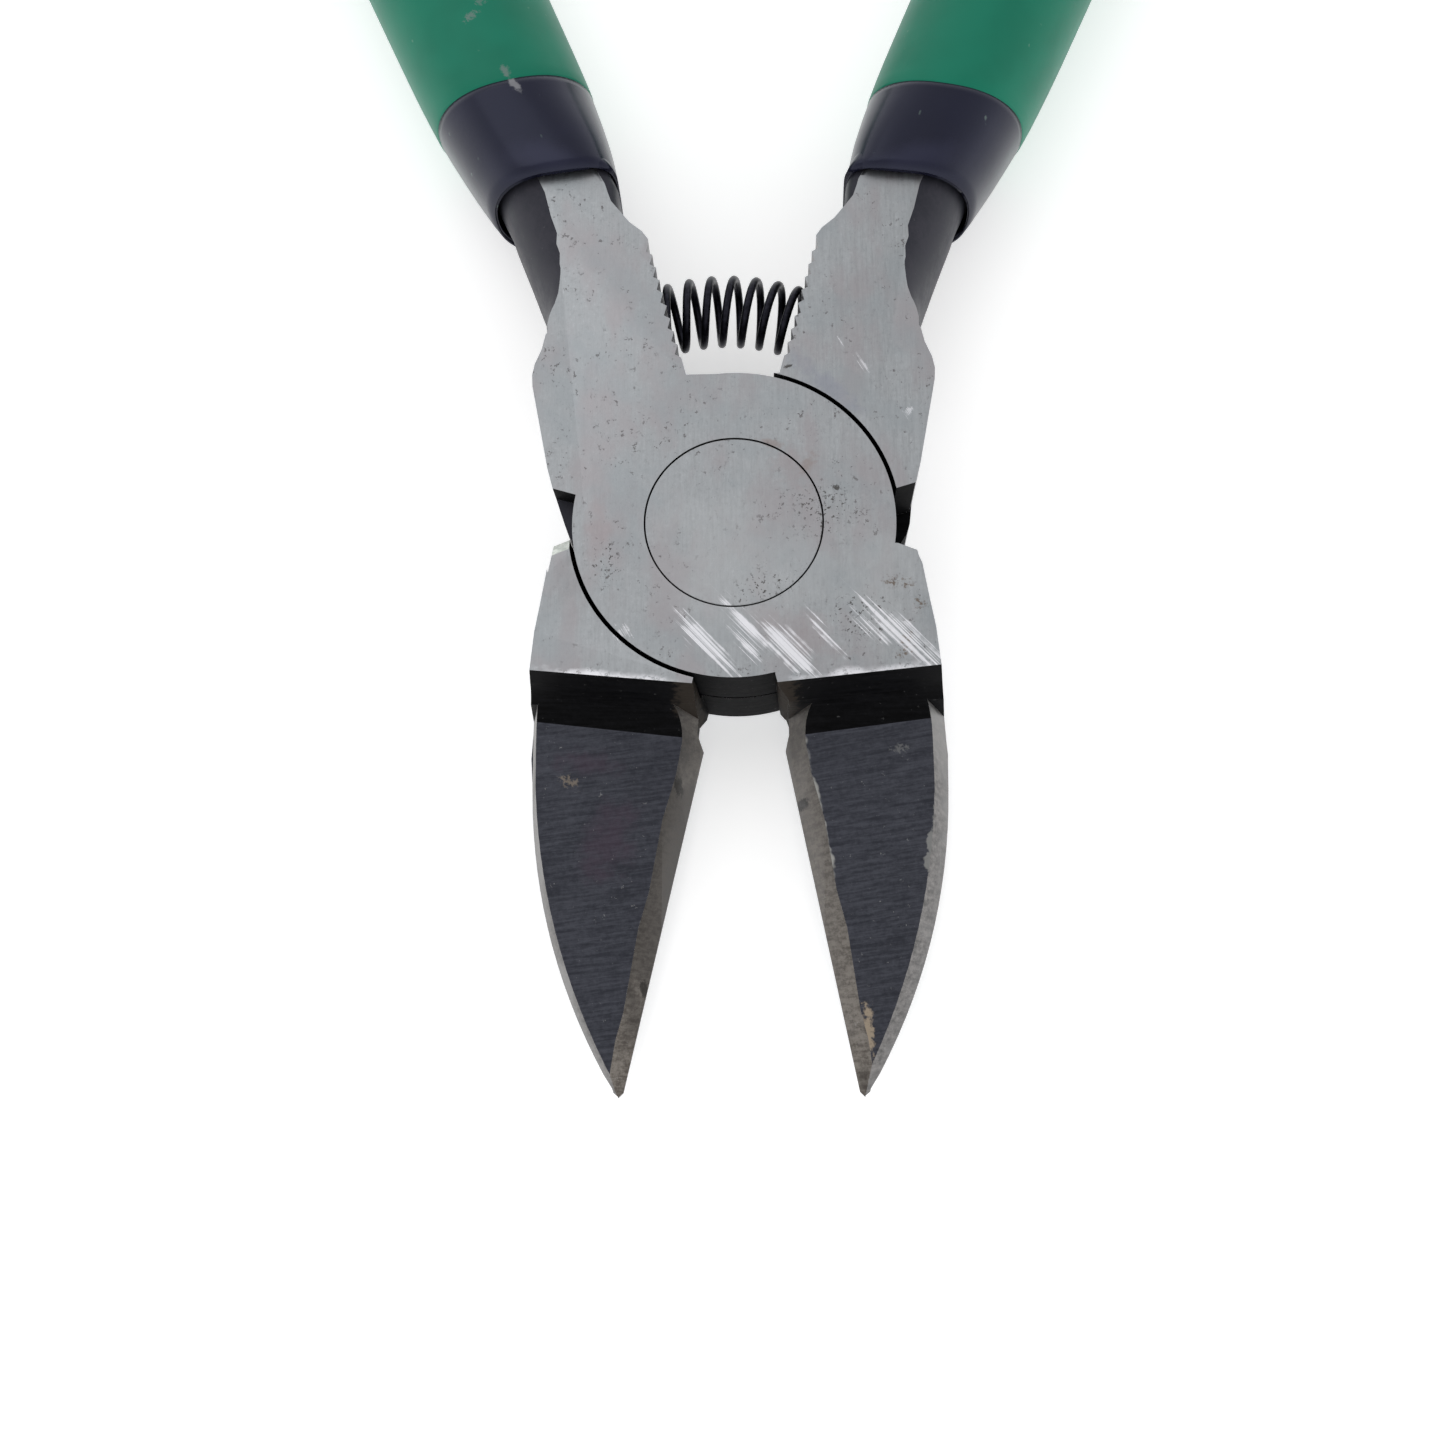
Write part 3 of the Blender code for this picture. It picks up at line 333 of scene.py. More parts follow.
class Graph:
    """Short calls for building one node material."""

    def __init__(self, name, roughness, metallic=0.0):
        self.material = bpy.data.materials.new(name)
        self.material.use_nodes = True
        self.tree = self.material.node_tree
        self.shader = self.tree.nodes["Principled BSDF"]
        self.shader.inputs["Roughness"].default_value = roughness
        self.shader.inputs["Metallic"].default_value = metallic
        self.place = self.node("ShaderNodeTexCoord").outputs["Object"]

    def node(self, kind, **settings):
        """Add a node and set its properties."""
        made = self.tree.nodes.new(kind)
        for key, value in settings.items():
            setattr(made, key, value)
        return made

    def feed(self, socket, value):
        """Link a socket, or set its value."""
        if isinstance(value, bpy.types.NodeSocket):
            self.tree.links.new(value, socket)
        else:
            socket.default_value = value

    def math(self, operation, first, second):
        """One Math node."""
        made = self.node("ShaderNodeMath", operation=operation)
        self.feed(made.inputs[0], first)
        self.feed(made.inputs[1], second)
        return made.outputs[0]

    def mapping(self, vector, setting, value):
        """One Mapping node with one setting changed."""
        made = self.node("ShaderNodeMapping")
        self.feed(made.inputs["Vector"], vector)
        made.inputs[setting].default_value = value
        return made.outputs[0]

    def stretched(self, scale, turn=0.0):
        """Object coordinates in millimetres, turned about Z and then scaled per axis."""
        turned = self.node("ShaderNodeMapping")
        self.feed(turned.inputs["Vector"], self.place)
        turned.inputs["Rotation"].default_value = (0.0, 0.0, turn)
        turned.inputs["Scale"].default_value = (1 / MM,) * 3
        return self.mapping(turned.outputs[0], "Scale", scale)

    def noise(self, scale, detail, roughness=0.55, turn=0.0):
        """A noise value from 0 to 1."""
        made = self.node("ShaderNodeTexNoise")
        self.feed(made.inputs["Vector"], self.stretched(scale, turn))
        made.inputs["Scale"].default_value = 1.0
        made.inputs["Detail"].default_value = detail
        made.inputs["Roughness"].default_value = roughness
        return made.outputs["Fac"]

    def spread(self, value, low, high, to_low=0.0, to_high=1.0):
        """Map a range smoothly onto another, clamped."""
        made = self.node("ShaderNodeMapRange", interpolation_type="SMOOTHSTEP")
        self.feed(made.inputs["Value"], value)
        made.inputs["From Min"].default_value = low
        made.inputs["From Max"].default_value = high
        made.inputs["To Min"].default_value = to_low
        made.inputs["To Max"].default_value = to_high
        return made.outputs["Result"]

    def mix(self, factor, first, second):
        """Blend two colours."""
        made = self.node("ShaderNodeMix", data_type="RGBA")
        self.feed(made.inputs["Factor"], factor)
        for socket, value in ((made.inputs[6], first), (made.inputs[7], second)):
            self.feed(socket, value if isinstance(value, bpy.types.NodeSocket) else (*value, 1.0))
        return made.outputs[2]

    def tinted(self, colour, mask, strength, tint):
        """A colour with a tint laid over it inside a mask."""
        return self.mix(self.math("MULTIPLY", mask, strength), colour, tint)

    def coordinate(self, axis):
        """One object coordinate in millimetres."""
        split = self.node("ShaderNodeSeparateXYZ")
        self.feed(split.inputs[0], self.stretched((1.0, 1.0, 1.0)))
        return split.outputs[axis]

    def patch(self, centre, size, turn=0.0, soft=0.5, ragged=0.35):
        """A ragged ellipse in XY, 1 at its middle and 0 outside; sizes are half lengths in millimetres."""
        moved = self.node("ShaderNodeVectorMath", operation="SUBTRACT")
        self.feed(moved.inputs[0], self.stretched((1.0, 1.0, 0.0)))
        moved.inputs[1].default_value = (*centre, 0.0)
        turned = self.mapping(moved.outputs[0], "Rotation", (0.0, 0.0, turn))
        scaled = self.mapping(turned, "Scale", (1 / size[0], 1 / size[1], 0.0))
        length = self.node("ShaderNodeVectorMath", operation="LENGTH")
        self.feed(length.inputs[0], scaled)
        rough = self.noise((PATCH_GRAIN / max(size),) * 3, detail=3.0, roughness=0.7)
        edge = self.math("ADD", length.outputs["Value"], self.spread(rough, *PATCH_RANGE, -ragged, ragged))
        return self.spread(edge, 1.0, 1.0 - soft)

    def patches(self, shapes, **settings):
        """Several patches as one mask."""
        return self.either([self.patch(*shape, **settings) for shape in shapes])

    def either(self, masks):
        """The stronger of several masks."""
        strongest = masks[0]
        for mask in masks[1:]:
            strongest = self.math("MAXIMUM", strongest, mask)
        return strongest

    def both(self, first, second):
        """Where two masks overlap."""
        return self.math("MULTIPLY", first, second)

    def bump(self, height, strength, distance, before=None):
        """A bump that can follow another."""
        made = self.node("ShaderNodeBump")
        made.inputs["Strength"].default_value = strength
        made.inputs["Distance"].default_value = distance * MM
        self.feed(made.inputs["Height"], height)
        if before is not None:
            self.feed(made.inputs["Normal"], before)
        return made.outputs[0]

    def finish(self, colour, normal=None, roughness=None):
        """Wire the results into the shader."""
        self.feed(self.shader.inputs["Base Color"], colour)
        if normal is not None:
            self.feed(self.shader.inputs["Normal"], normal)
        if roughness is not None:
            self.feed(self.shader.inputs["Roughness"], roughness)
        return self.material


def shade(colour, factor):
    """A colour made darker or lighter."""
    return tuple(value * factor for value in colour)


# ---------------------------------------------------------------- steel finishes


def ground_base(graph, tone):
    """Ground steel: lines along Y, soft clouds and small dark pits. Returns colour, normal and lines."""
    lines = graph.noise(**GROUND_LINES)
    colour = graph.mix(graph.spread(lines, 0.32, 0.68), shade(tone, 0.9), shade(tone, 1.09))
    grain = graph.noise(**GROUND_GRAIN)
    colour = graph.mix(graph.spread(grain, 0.3, 0.5, to_low=0.35, to_high=0.0), colour, shade(tone, 0.6))
    colour = graph.mix(graph.spread(grain, 0.55, 0.72, to_high=0.3), colour, shade(tone, 1.6))
    colour = graph.mix(graph.spread(graph.noise(**WARM_CLOUDS), 0.42, 0.68, to_high=0.6), colour, WARM_GREY)
    colour = graph.mix(graph.spread(graph.noise(**COOL_CLOUDS), 0.45, 0.7, to_high=0.4), colour, COOL_GREY)
    grit = graph.spread(graph.noise(**PIT_GRAIN), 0.61, 0.68)
    pits = graph.both(grit, graph.spread(graph.noise(**PIT_AREAS), 0.4, 0.6))
    colour = graph.tinted(colour, pits, PIT_STRENGTH, PIT_BLACK)
    normal = graph.bump(lines, strength=0.25, distance=0.02)
    normal = graph.bump(grain, strength=0.25, distance=0.03, before=normal)
    normal = graph.bump(pits, strength=0.6, distance=-0.03, before=normal)
    return colour, normal, lines


def ground_face(name, tone):
    """Plain surface-ground steel."""
    graph = Graph(name, GROUND_ROUGHNESS, metallic=1.0)
    colour, normal, lines = ground_base(graph, tone)
    return graph.finish(colour, normal, graph.spread(lines, *LINE_RANGE, *GROUND_ROUGHNESS_RANGE))


def scratch_mask(graph, turn, bundles):
    """Fine bright scratches along one direction, inside ragged bundles."""
    hairs = graph.noise(**SCRATCH_HAIRS, turn=turn)
    streaks = graph.noise(**SCRATCH_STREAKS, turn=turn)
    area = graph.patches(bundles, soft=0.9, ragged=0.2)
    lift = graph.math("MULTIPLY", area, BUNDLE_LIFT)
    lift = graph.math("ADD", lift, graph.math("MULTIPLY", streaks, STREAK_LIFT))
    return graph.spread(graph.math("ADD", hairs, lift), *SCRATCH_RANGE)


def top_stains(graph, colour):
    """The joint's top face with its tinted areas and rust."""
    for tint, strength, shapes in TOP_TINTS:
        colour = graph.tinted(colour, graph.patches(shapes), strength, tint)
    grit = graph.spread(graph.noise(**RUST_GRAIN), 0.45, 0.6, to_high=0.8)
    return graph.mix(graph.both(graph.patches(RUST_PATCHES), grit), colour, DARK_RUST)


def top_spots(graph):
    """Dark dots in loose groups, and two larger spots."""
    dots = graph.both(graph.patches(DOT_PATCHES), graph.spread(graph.noise(**DOT_GRAIN), 0.58, 0.64))
    return graph.either([dots, graph.patches(DARK_SPOTS)])


def top_scratches(graph):
    """Scratch bundles, fainter ones, and chips along the step's edge."""
    bundles = scratch_mask(graph, SCRATCH_TURN, SCRATCH_BUNDLES)
    faint = scratch_mask(graph, FAINT_SCRATCH_TURN, FAINT_BUNDLES)
    ragged = graph.spread(graph.noise(**STEP_CHIP_GRAIN), 0.38, 0.5)
    chips = graph.both(graph.patches(STEP_CHIPS), ragged)
    return graph.either([bundles, graph.math("MULTIPLY", faint, FAINT_SCRATCH_STRENGTH), chips])


def worn_top(name, tone):
    """The joint's top face: ground steel with stains, dark spots and scratches."""
    graph = Graph(name, GROUND_ROUGHNESS, metallic=1.0)
    colour, normal, lines = ground_base(graph, tone)
    colour = top_stains(graph, colour)
    spots = top_spots(graph)
    colour = graph.tinted(colour, spots, SPOT_STRENGTH, SPOT_BLACK)
    normal = graph.bump(spots, strength=0.7, distance=-0.05, before=normal)
    scratches = top_scratches(graph)
    colour = graph.tinted(colour, scratches, SCRATCH_STRENGTH, BRIGHT_STEEL)
    normal = graph.bump(scratches, strength=0.5, distance=-0.04, before=normal)
    return graph.finish(colour, normal, graph.spread(lines, *LINE_RANGE, *GROUND_ROUGHNESS_RANGE))


def worn_edge(name, dark, light):
    """Edges knocked bright in places."""
    graph = Graph(name, roughness=0.4, metallic=1.0)
    chips = graph.noise(**EDGE_CHIP_GRAIN)
    colour = graph.mix(graph.spread(chips, 0.45, 0.6), dark, light)
    return graph.finish(colour, graph.bump(chips, strength=0.5, distance=0.05))


def machined_face(name, dark, light, scale, turn=0.0, metallic=1.0, roughness=0.4, contrast=(0.35, 0.68),
                  specks=0.5, gloss=0.5, spots=()):
    """Steel with fine parallel cutter lines, grain, pale specks, and spots as colour, strength and patch."""
    graph = Graph(name, roughness, metallic)
    graph.shader.inputs["Specular IOR Level"].default_value = gloss
    cuts = graph.noise(scale, CUTTER_LINE_DETAIL, CUTTER_LINE_ROUGHNESS, turn)
    grain = graph.math("MULTIPLY", graph.noise(**STEEL_GRAIN), GRAIN_SHARE)
    lines = graph.math("ADD", graph.math("MULTIPLY", cuts, 1 - GRAIN_SHARE), grain)
    colour = graph.mix(graph.spread(lines, *contrast), dark, light)
    pale = graph.spread(graph.noise(**PALE_SPECKS), 0.66, 0.74, to_high=specks)
    colour = graph.mix(pale, colour, SPECK_GREY)
    for tint, strength, shape in spots:
        colour = graph.tinted(colour, graph.patch(*shape), strength, tint)
    normal = graph.bump(lines, strength=0.3, distance=0.03)
    gleam = graph.spread(lines, *LINE_RANGE, roughness - ROUGHNESS_DROP, roughness + ROUGHNESS_RISE)
    return graph.finish(colour, normal, gleam)


def joint_painted_shade():
    """Dark machined faces: the joint's inside and the jaws' step walls, painted near black for the shade
    that falls there, with some oil.
    """
    return machined_face("machined_painted_shade", dark=(0.0008, 0.0008, 0.001), light=(0.006, 0.006, 0.007),
                         scale=(0.3, 2.0, 9.0), metallic=0.0, roughness=0.6, specks=0.22, gloss=0.04,
                         spots=NECK_SPOTS)


def blade_oxide():
    """Dark blade tops, with cutter lines across them."""
    return machined_face("blade_oxide", dark=(0.028, 0.030, 0.040), light=(0.066, 0.069, 0.086),
                         scale=(0.5, 6.0, 1.0), turn=math.radians(-8), metallic=0.75, roughness=0.42,
                         contrast=(0.35, 0.66), spots=BLADE_SPOTS)


def edge_bevel():
    """Ground bevels along the cutting edges."""
    return machined_face("edge_bevel", dark=(0.07, 0.06, 0.052), light=(0.185, 0.168, 0.15),
                         scale=(0.2, 3.6, 1.0), contrast=(0.38, 0.62), spots=BEVEL_SPOTS)


def flank_ground():
    """Ground strips along the blades' outer edges."""
    return machined_face("flank_ground", dark=(0.08, 0.078, 0.077), light=(0.24, 0.23, 0.225),
                         scale=(0.2, 3.6, 1.0), specks=0.3)


def forged_oxide():
    """Bare forged skin beside the tangs."""
    return machined_face("forged_oxide", dark=(0.022, 0.023, 0.031), light=(0.038, 0.037, 0.048),
                         scale=(0.9, 0.6, 0.9), metallic=0.5, roughness=0.5, specks=0.1, gloss=0.25)


def spring_wire():
    """Black spring wire."""
    return machined_face("spring_wire", dark=(0.008, 0.008, 0.012), light=(0.028, 0.028, 0.04),
                         scale=(4.0, 4.0, 4.0), metallic=0.9, roughness=0.35, specks=0.05)


def pale_chamfer():
    """The bright chamfer at the back of the left jaw."""
    return machined_face("pale_chamfer", dark=(0.45, 0.47, 0.44), light=(0.75, 0.78, 0.74),
                         scale=(1.5, 1.5, 1.5))


def ground_wall():
    """Upright walls of the jaws, tangs and rivet hole."""
    return machined_face("ground_wall", dark=(0.2, 0.2, 0.21), light=(0.36, 0.36, 0.37),
                         scale=(0.6, 0.6, 7.0))


# ---------------------------------------------------------------- vinyl finishes


def vinyl(name, colour, deep, roughness, gloss, sheen_tint, spots):
    """Dipped vinyl with a soft skin, a few specks, and spots given as colour, strength and patch; the spots,
    glue and painted sheen alike, show on the upper side only.
    """
    graph = Graph(name, roughness)
    tone = graph.mix(graph.spread(graph.noise(**VINYL_CLOUDS), 0.35, 0.7), colour, deep)
    specks = graph.spread(graph.noise(**VINYL_SPECKS), 0.72, 0.78)
    tone = graph.tinted(tone, specks, VINYL_SPECK_STRENGTH, VINYL_SPECK)
    upside = graph.spread(graph.coordinate("Z"), MID_HEIGHT, MID_HEIGHT + VINYL_SPOT_FADE)
    for tint, strength, shape in spots:
        tone = graph.tinted(tone, graph.both(graph.patch(*shape), upside), strength, tint)
    graph.shader.inputs["Specular IOR Level"].default_value = gloss
    graph.shader.inputs["Specular Tint"].default_value = (*sheen_tint, 1.0)
    return graph.finish(tone, graph.bump(graph.noise(**VINYL_SKIN), strength=0.1, distance=0.12))


def collar_vinyl():
    """The glossy black layer, with a painted bluish sheen behind its lip."""
    return vinyl("collar_vinyl", colour=(0.004, 0.004, 0.012), deep=(0.005, 0.005, 0.015), roughness=0.25,
                 gloss=0.38, sheen_tint=(0.7, 0.75, 1.0), spots=COLLAR_SHEEN_AND_GLUE)


def grip_vinyl():
    """The green layer."""
    return vinyl("grip_vinyl", colour=(0.003, 0.165, 0.1), deep=(0.002, 0.145, 0.087), roughness=0.42,
                 gloss=0.2, sheen_tint=(1.0, 1.0, 1.0), spots=GRIP_SPOTS)


def make_materials():
    """Every material of the tool."""
    return {
        "top": worn_top("ground_top", tone=(0.355, 0.37, 0.385)),
        "under": ground_face("ground_under", tone=(0.33, 0.35, 0.365)),
        "edge": worn_edge("worn_edge", dark=(0.12, 0.12, 0.125), light=(0.6, 0.6, 0.6)),
        "chamfer": pale_chamfer(),
        "wall": ground_wall(),
        # The "black" finish is painted shade on the joint's recessed faces and the jaws' step walls
        "black": joint_painted_shade(),
        "oxide": blade_oxide(),
        "bevel": edge_bevel(),
        "flank": flank_ground(),
        "forged": forged_oxide(),
        "wire": spring_wire(),
        "vinyl_black": collar_vinyl(),
        "vinyl_green": grip_vinyl(),
    }


# ---------------------------------------------------------------- steel pieces


def jaw_finish(centre, normal, x, out):
    """Name the finish of a face of a jaw from its place x and its lean out, both towards the jaw's side."""
    on_blade = centre.y < BLADE_ROOT_Y and normal.z > LOOKING_UP
    if on_blade and out < -LEANING_SIDEWAYS:
        return "bevel"
    if on_blade and out > LEANING_SIDEWAYS:
        return "flank"
    if normal.z > BLADE_LEVEL and centre.z < BLADE_TOP_MAX_Z:
        return "oxide"
    # Step walls and faces near the neck get the "black" finish, which is painted shade
    on_step = normal.y < -FACING_ALONG or normal.z > LOOKING_UP or x < NECK_X
    if centre.y > NECK_END_Y and on_step:
        return "black"
    return "wall"


def joint_finish(centre, normal):
    """Name the finish of a face of the joint or of a tang."""
    if centre.y > TANG_START_Y and abs(centre.x) > TANG_FACE_X:
        return "forged"
    if centre.xy.length < RIVET_HOLE_RADIUS and abs(normal.z) < LEVEL:
        return "wall"
    # Faces inside the joint, and level faces below the top, get painted shade ("black")
    if centre.xy.length < JOINT_RADIUS and centre.y < JOINT_BACK_Y:
        return "black"
    if normal.z > LEVEL:
        return "black"
    return "wall"


def half_finish(centre, normal, jaw_side):
    """Name the finish of a face of a half from where it lies and which way it looks."""
    x = centre.x * jaw_side
    beside_joint = abs(centre.y) < LUG_END_Y
    behind_jaw = jaw_side < 0 and x > TANG_FACE_X and abs(centre.y) < CHAMFER_END_Y
    if centre.z > TOP_Z - PLANE_TOLERANCE and normal.z > LEVEL:
        return "top"
    if centre.z < PLANE_TOLERANCE and normal.z < -LEVEL:
        return "under"
    if behind_jaw and normal.y > FACING_ALONG and normal.z > BARELY_UP:
        return "chamfer"
    if x > 0 and centre.y < JAW_START_Y:
        return jaw_finish(centre, normal, x, normal.x * jaw_side)
    # Faces beside the joint that look towards -Y get painted shade ("black")
    if beside_joint and normal.y < -FACING_ALONG:
        return "black"
    if beside_joint and jaw_side > 0 and x < -TANG_FACE_X and normal.z > LEVEL:
        return "forged"
    return joint_finish(centre, normal)


def rivet_finish(_centre, normal):
    """Name the finish of a face of the rivet."""
    return "top" if normal.z > LEVEL else "under"


def softened(node, materials, finish_of):
    """A CAD node's shape with softened edges and a finish for each face."""
    shape = bmesh.new()
    shape.from_mesh(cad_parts[node].data)
    bmesh.ops.remove_doubles(shape, verts=shape.verts, dist=STEEL_WELD * MM)
    bmesh.ops.dissolve_limit(shape, angle_limit=MERGE_ANGLE, verts=shape.verts, edges=shape.edges)
    names = sorted(materials)
    for face in shape.faces:
        face.material_index = names.index(finish_of(face.calc_center_median() / MM, face.normal))
        face.smooth = True
    mesh = bpy.data.meshes.new(node + "_detailed")
    shape.to_mesh(mesh)
    shape.free()
    for name in names:
        mesh.materials.append(materials[name])
    piece = bpy.data.objects.new(node + "_detailed", mesh)
    bpy.context.scene.collection.objects.link(piece)
    mesh.set_sharp_from_angle(angle=SHARP_ANGLE)
    bevel = piece.modifiers.new("Edges", "BEVEL")
    bevel.width = EDGE_SOFTENING * MM
    bevel.segments = EDGE_SEGMENTS
    bevel.limit_method = "ANGLE"
    bevel.angle_limit = SHARP_ANGLE
    bevel.harden_normals = True
    if "edge" in names:
        bevel.material = names.index("edge")
    return piece


def settle(piece, body, node):
    """Let a piece ride on a body in place of a CAD node."""
    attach(piece, body)
    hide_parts(node)
    return piece


def steel_half(layer, materials):
    """One forged half, with a finish for each ground, machined or forged face."""
    jaw_side = -HANDLE_SIDE[layer]
    finishes = {key: materials[key] for key in STEEL_FINISHES}
    piece = softened("half_" + layer, finishes, lambda centre, normal: half_finish(centre, normal, jaw_side))
    return settle(piece, layer + "_half", "half_" + layer)


def rivet(materials):
    """The pivot rivet, ground together with the faces round it."""
    finishes = {key: materials[key] for key in RIVET_FINISHES}
    piece = softened("pivot_rivet", finishes, rivet_finish)
    return settle(piece, "upper_half", "pivot_rivet")


# ---------------------------------------------------------------- grips


def knot_slope(knots, index):
    """Slope of a smooth curve at one of its knots."""
    low = knots[max(index - 1, 0)]
    high = knots[min(index + 1, len(knots) - 1)]
    return (high[1] - low[1]) / (high[0] - low[0])


def curve_value(y, knots):
    """Value on a smooth curve through (position, value) knots, level beyond its ends."""
    if y <= knots[0][0]:
        return knots[0][1]
    for index in range(len(knots) - 1):
        (low_y, low), (high_y, high) = knots[index], knots[index + 1]
        if y < high_y:
            span = high_y - low_y
            share = (y - low_y) / span
            rest = 1 - share
            value = low * rest ** 2 * (1 + 2 * share) + high * share ** 2 * (1 + 2 * rest)
            value += knot_slope(knots, index) * span * share * rest ** 2
            return value - knot_slope(knots, index + 1) * span * share ** 2 * rest
    return knots[-1][1]


def handle_point(share):
    """Point and direction on the handle line."""
    start, first, second, end = (Vector(point) for point in HANDLE_CURVE)
    rest = 1 - share
    point = start * rest ** 3 + first * 3 * rest ** 2 * share
    point += second * 3 * rest * share ** 2 + end * share ** 3
    slope = (first - start) * rest ** 2 + (second - first) * 2 * rest * share + (end - second) * share ** 2
    return point, slope.normalized()


def handle_share_at(y):
    """The curve parameter where the handle line reaches a given Y."""
    low, high = HANDLE_SEARCH
    for _ in range(HANDLE_SEARCH_STEPS):
        middle = (low + high) / 2
        if handle_point(middle)[0].y < y:
            low = middle
        else:
            high = middle
    return (low + high) / 2


def outside(station, inset):
    """Half width, half height, inner squareness and pinch of the grip's outside."""
    width = curve_value(station, GRIP_WIDTH) - inset
    height = curve_value(station, GRIP_HEIGHT) - inset
    return width, height, curve_value(station, INNER_POWER), curve_value(station, LIP_PINCH)


def bore(station, inset):
    """Half width, half height, inner squareness and pinch of the hole for the forged core."""
    width = curve_value(station, CORE_WIDTH) + BORE_GAP - inset
    height = curve_value(station, CORE_HEIGHT) + BORE_GAP - inset
    return width, height, curve_value(station, CORE_INNER_POWER), 1.0


def handle_ring(side, y, sizes, inset=0.0, tilt=0.0, shrink=1.0):
    """One section across a handle."""
    ring = []
    for index in range(GRIP_POINTS):
        angle = 2 * math.pi * (index + 0.5) / GRIP_POINTS
        cosine, sine = math.cos(angle), math.sin(angle)
        power = OUTER_POWER if cosine > 0 else sizes(y, inset)[2]
        level = math.copysign(abs(sine) ** (2 / power), sine)
        station = y + tilt * level * sizes(y, inset)[1]
        width, height, _power, pinch = sizes(station, inset)
        offset = math.copysign(abs(cosine) ** (2 / power), cosine) * width * shrink
        if cosine < 0:
            offset *= pinch
        point, direction = handle_point(handle_share_at(station))
        share = min(1.0, max(0.0, (station - SECTION_START_Y) / (SQUARE_UP_Y - SECTION_START_Y)))
        square = Vector((direction.y, -direction.x))
        across = Vector((1.0, 0.0)).lerp(square, LIP_TURN + (1 - LIP_TURN) * share)
        across /= across.dot(square)
        place = point + across * offset
        ring.append((side * place.x, place.y, MID_HEIGHT + level * height * shrink))
    return ring


def run_of_rings(side, first_y, last_y, sizes, inset, tilt, dome):
    """Sections from a tilted front to a domed end."""
    rings = []
    for index in range(GRIP_STATIONS):
        share = (index / (GRIP_STATIONS - 1)) ** STATION_CROWDING
        y = first_y + (last_y - first_y) * share
        rings.append(handle_ring(side, y, sizes, inset, tilt * (1 - share) ** TILT_FADE_POWER))
    for index in range(1, DOME_STEPS):
        angle = math.pi / 2 * index / DOME_STEPS
        y = last_y + dome * math.sin(angle)
        rings.append(handle_ring(side, y, sizes, inset, shrink=math.cos(angle)))
    return rings


def rounded_front(side, y, radius, tilt, inset=0.0):
    """Sections that soften the front edge of a layer, from its hole outwards."""
    rings = []
    for degrees in FRONT_ANGLES:
        angle = math.radians(degrees)
        back = radius * (1 - math.sin(angle))
        drop = radius * (1 - math.cos(angle))
        rings.append(handle_ring(side, y + back, outside, inset + radius - drop, tilt))
    return rings


def join_rings(shape, first, second):
    """Faces between two sections."""
    for index in range(len(first)):
        after = (index + 1) % len(first)
        shape.faces.new((first[index], first[after], second[after], second[index]))


def piece_from(shape, name, material):
    """A smooth object from a bmesh drawn in millimetres."""
    bmesh.ops.scale(shape, vec=(MM,) * 3, verts=shape.verts)
    bmesh.ops.recalc_face_normals(shape, faces=shape.faces)
    mesh = bpy.data.meshes.new(name)
    shape.to_mesh(mesh)
    shape.free()
    mesh.shade_smooth()
    mesh.materials.append(material)
    piece = bpy.data.objects.new(name, mesh)
    bpy.context.scene.collection.objects.link(piece)
    return piece


def sleeve(name, outer, inner, material):
    """A tube whose skins meet at its front edge and are closed at its end."""
    shape = bmesh.new()
    skins = []
    for rings in (outer, inner):
        made = [[shape.verts.new(point) for point in ring] for ring in rings]
        for first, second in zip(made, made[1:]):
            join_rings(shape, first, second)
        shape.faces.new(made[-1])
        skins.append(made)
    join_rings(shape, skins[0][0], skins[1][0])
    return piece_from(shape, name, material)


def collar(layer, material):
    """The first dipped layer: a collar in front and a covered skin behind."""
    side = HANDLE_SIDE[layer]
    lip = LIP_Y[layer]
    first = lip + LIP_ROUNDING
    last = COLOUR_BREAK_Y[layer] - COLLAR_SHORTFALL
    rings = rounded_front(side, lip, LIP_ROUNDING, LIP_TILT)
    for index in range(COLLAR_STEPS):
        share = (index + 1) / COLLAR_STEPS
        tilt = LIP_TILT + (BREAK_TILT - LIP_TILT) * share
        rings.append(handle_ring(side, first + (last - first) * share, outside, tilt=tilt))
    rings += run_of_rings(side, COLOUR_BREAK_Y[layer] + COVERED_SKIN_START, INNER_END_Y, outside,
                          OUTER_SKIN + SKIN_GAP, BREAK_TILT, DOME_LENGTH["inner"])
    hole = run_of_rings(side, lip + BORE_START, BORE_END_Y, bore, 0.0, LIP_TILT, DOME_LENGTH["bore"])
    piece = sleeve("collar_" + layer, rings, hole, material)
    return settle(piece, layer + "_half", "inner_sleeve_" + layer)


def green_grip(layer, material):
    """The thicker coloured layer."""
    side = HANDLE_SIDE[layer]
    start = COLOUR_BREAK_Y[layer] - FRONT_OVERLAP
    rings = rounded_front(side, start, FRONT_ROUNDING, BREAK_TILT, inset=-FRONT_RISE)
    rings += run_of_rings(side, start + FRONT_ROUNDING, OUTER_END_Y, outside, -FRONT_RISE, BREAK_TILT,
                          DOME_LENGTH["outer"])
    hole = run_of_rings(side, start + BORE_START, INNER_END_Y + SKIN_GAP, outside, OUTER_SKIN, BREAK_TILT,
                        DOME_LENGTH["outer_bore"])
    piece = sleeve("grip_" + layer, rings, hole, material)
    return settle(piece, layer + "_half", "outer_sleeve_" + layer)


# ---------------------------------------------------------------- spring


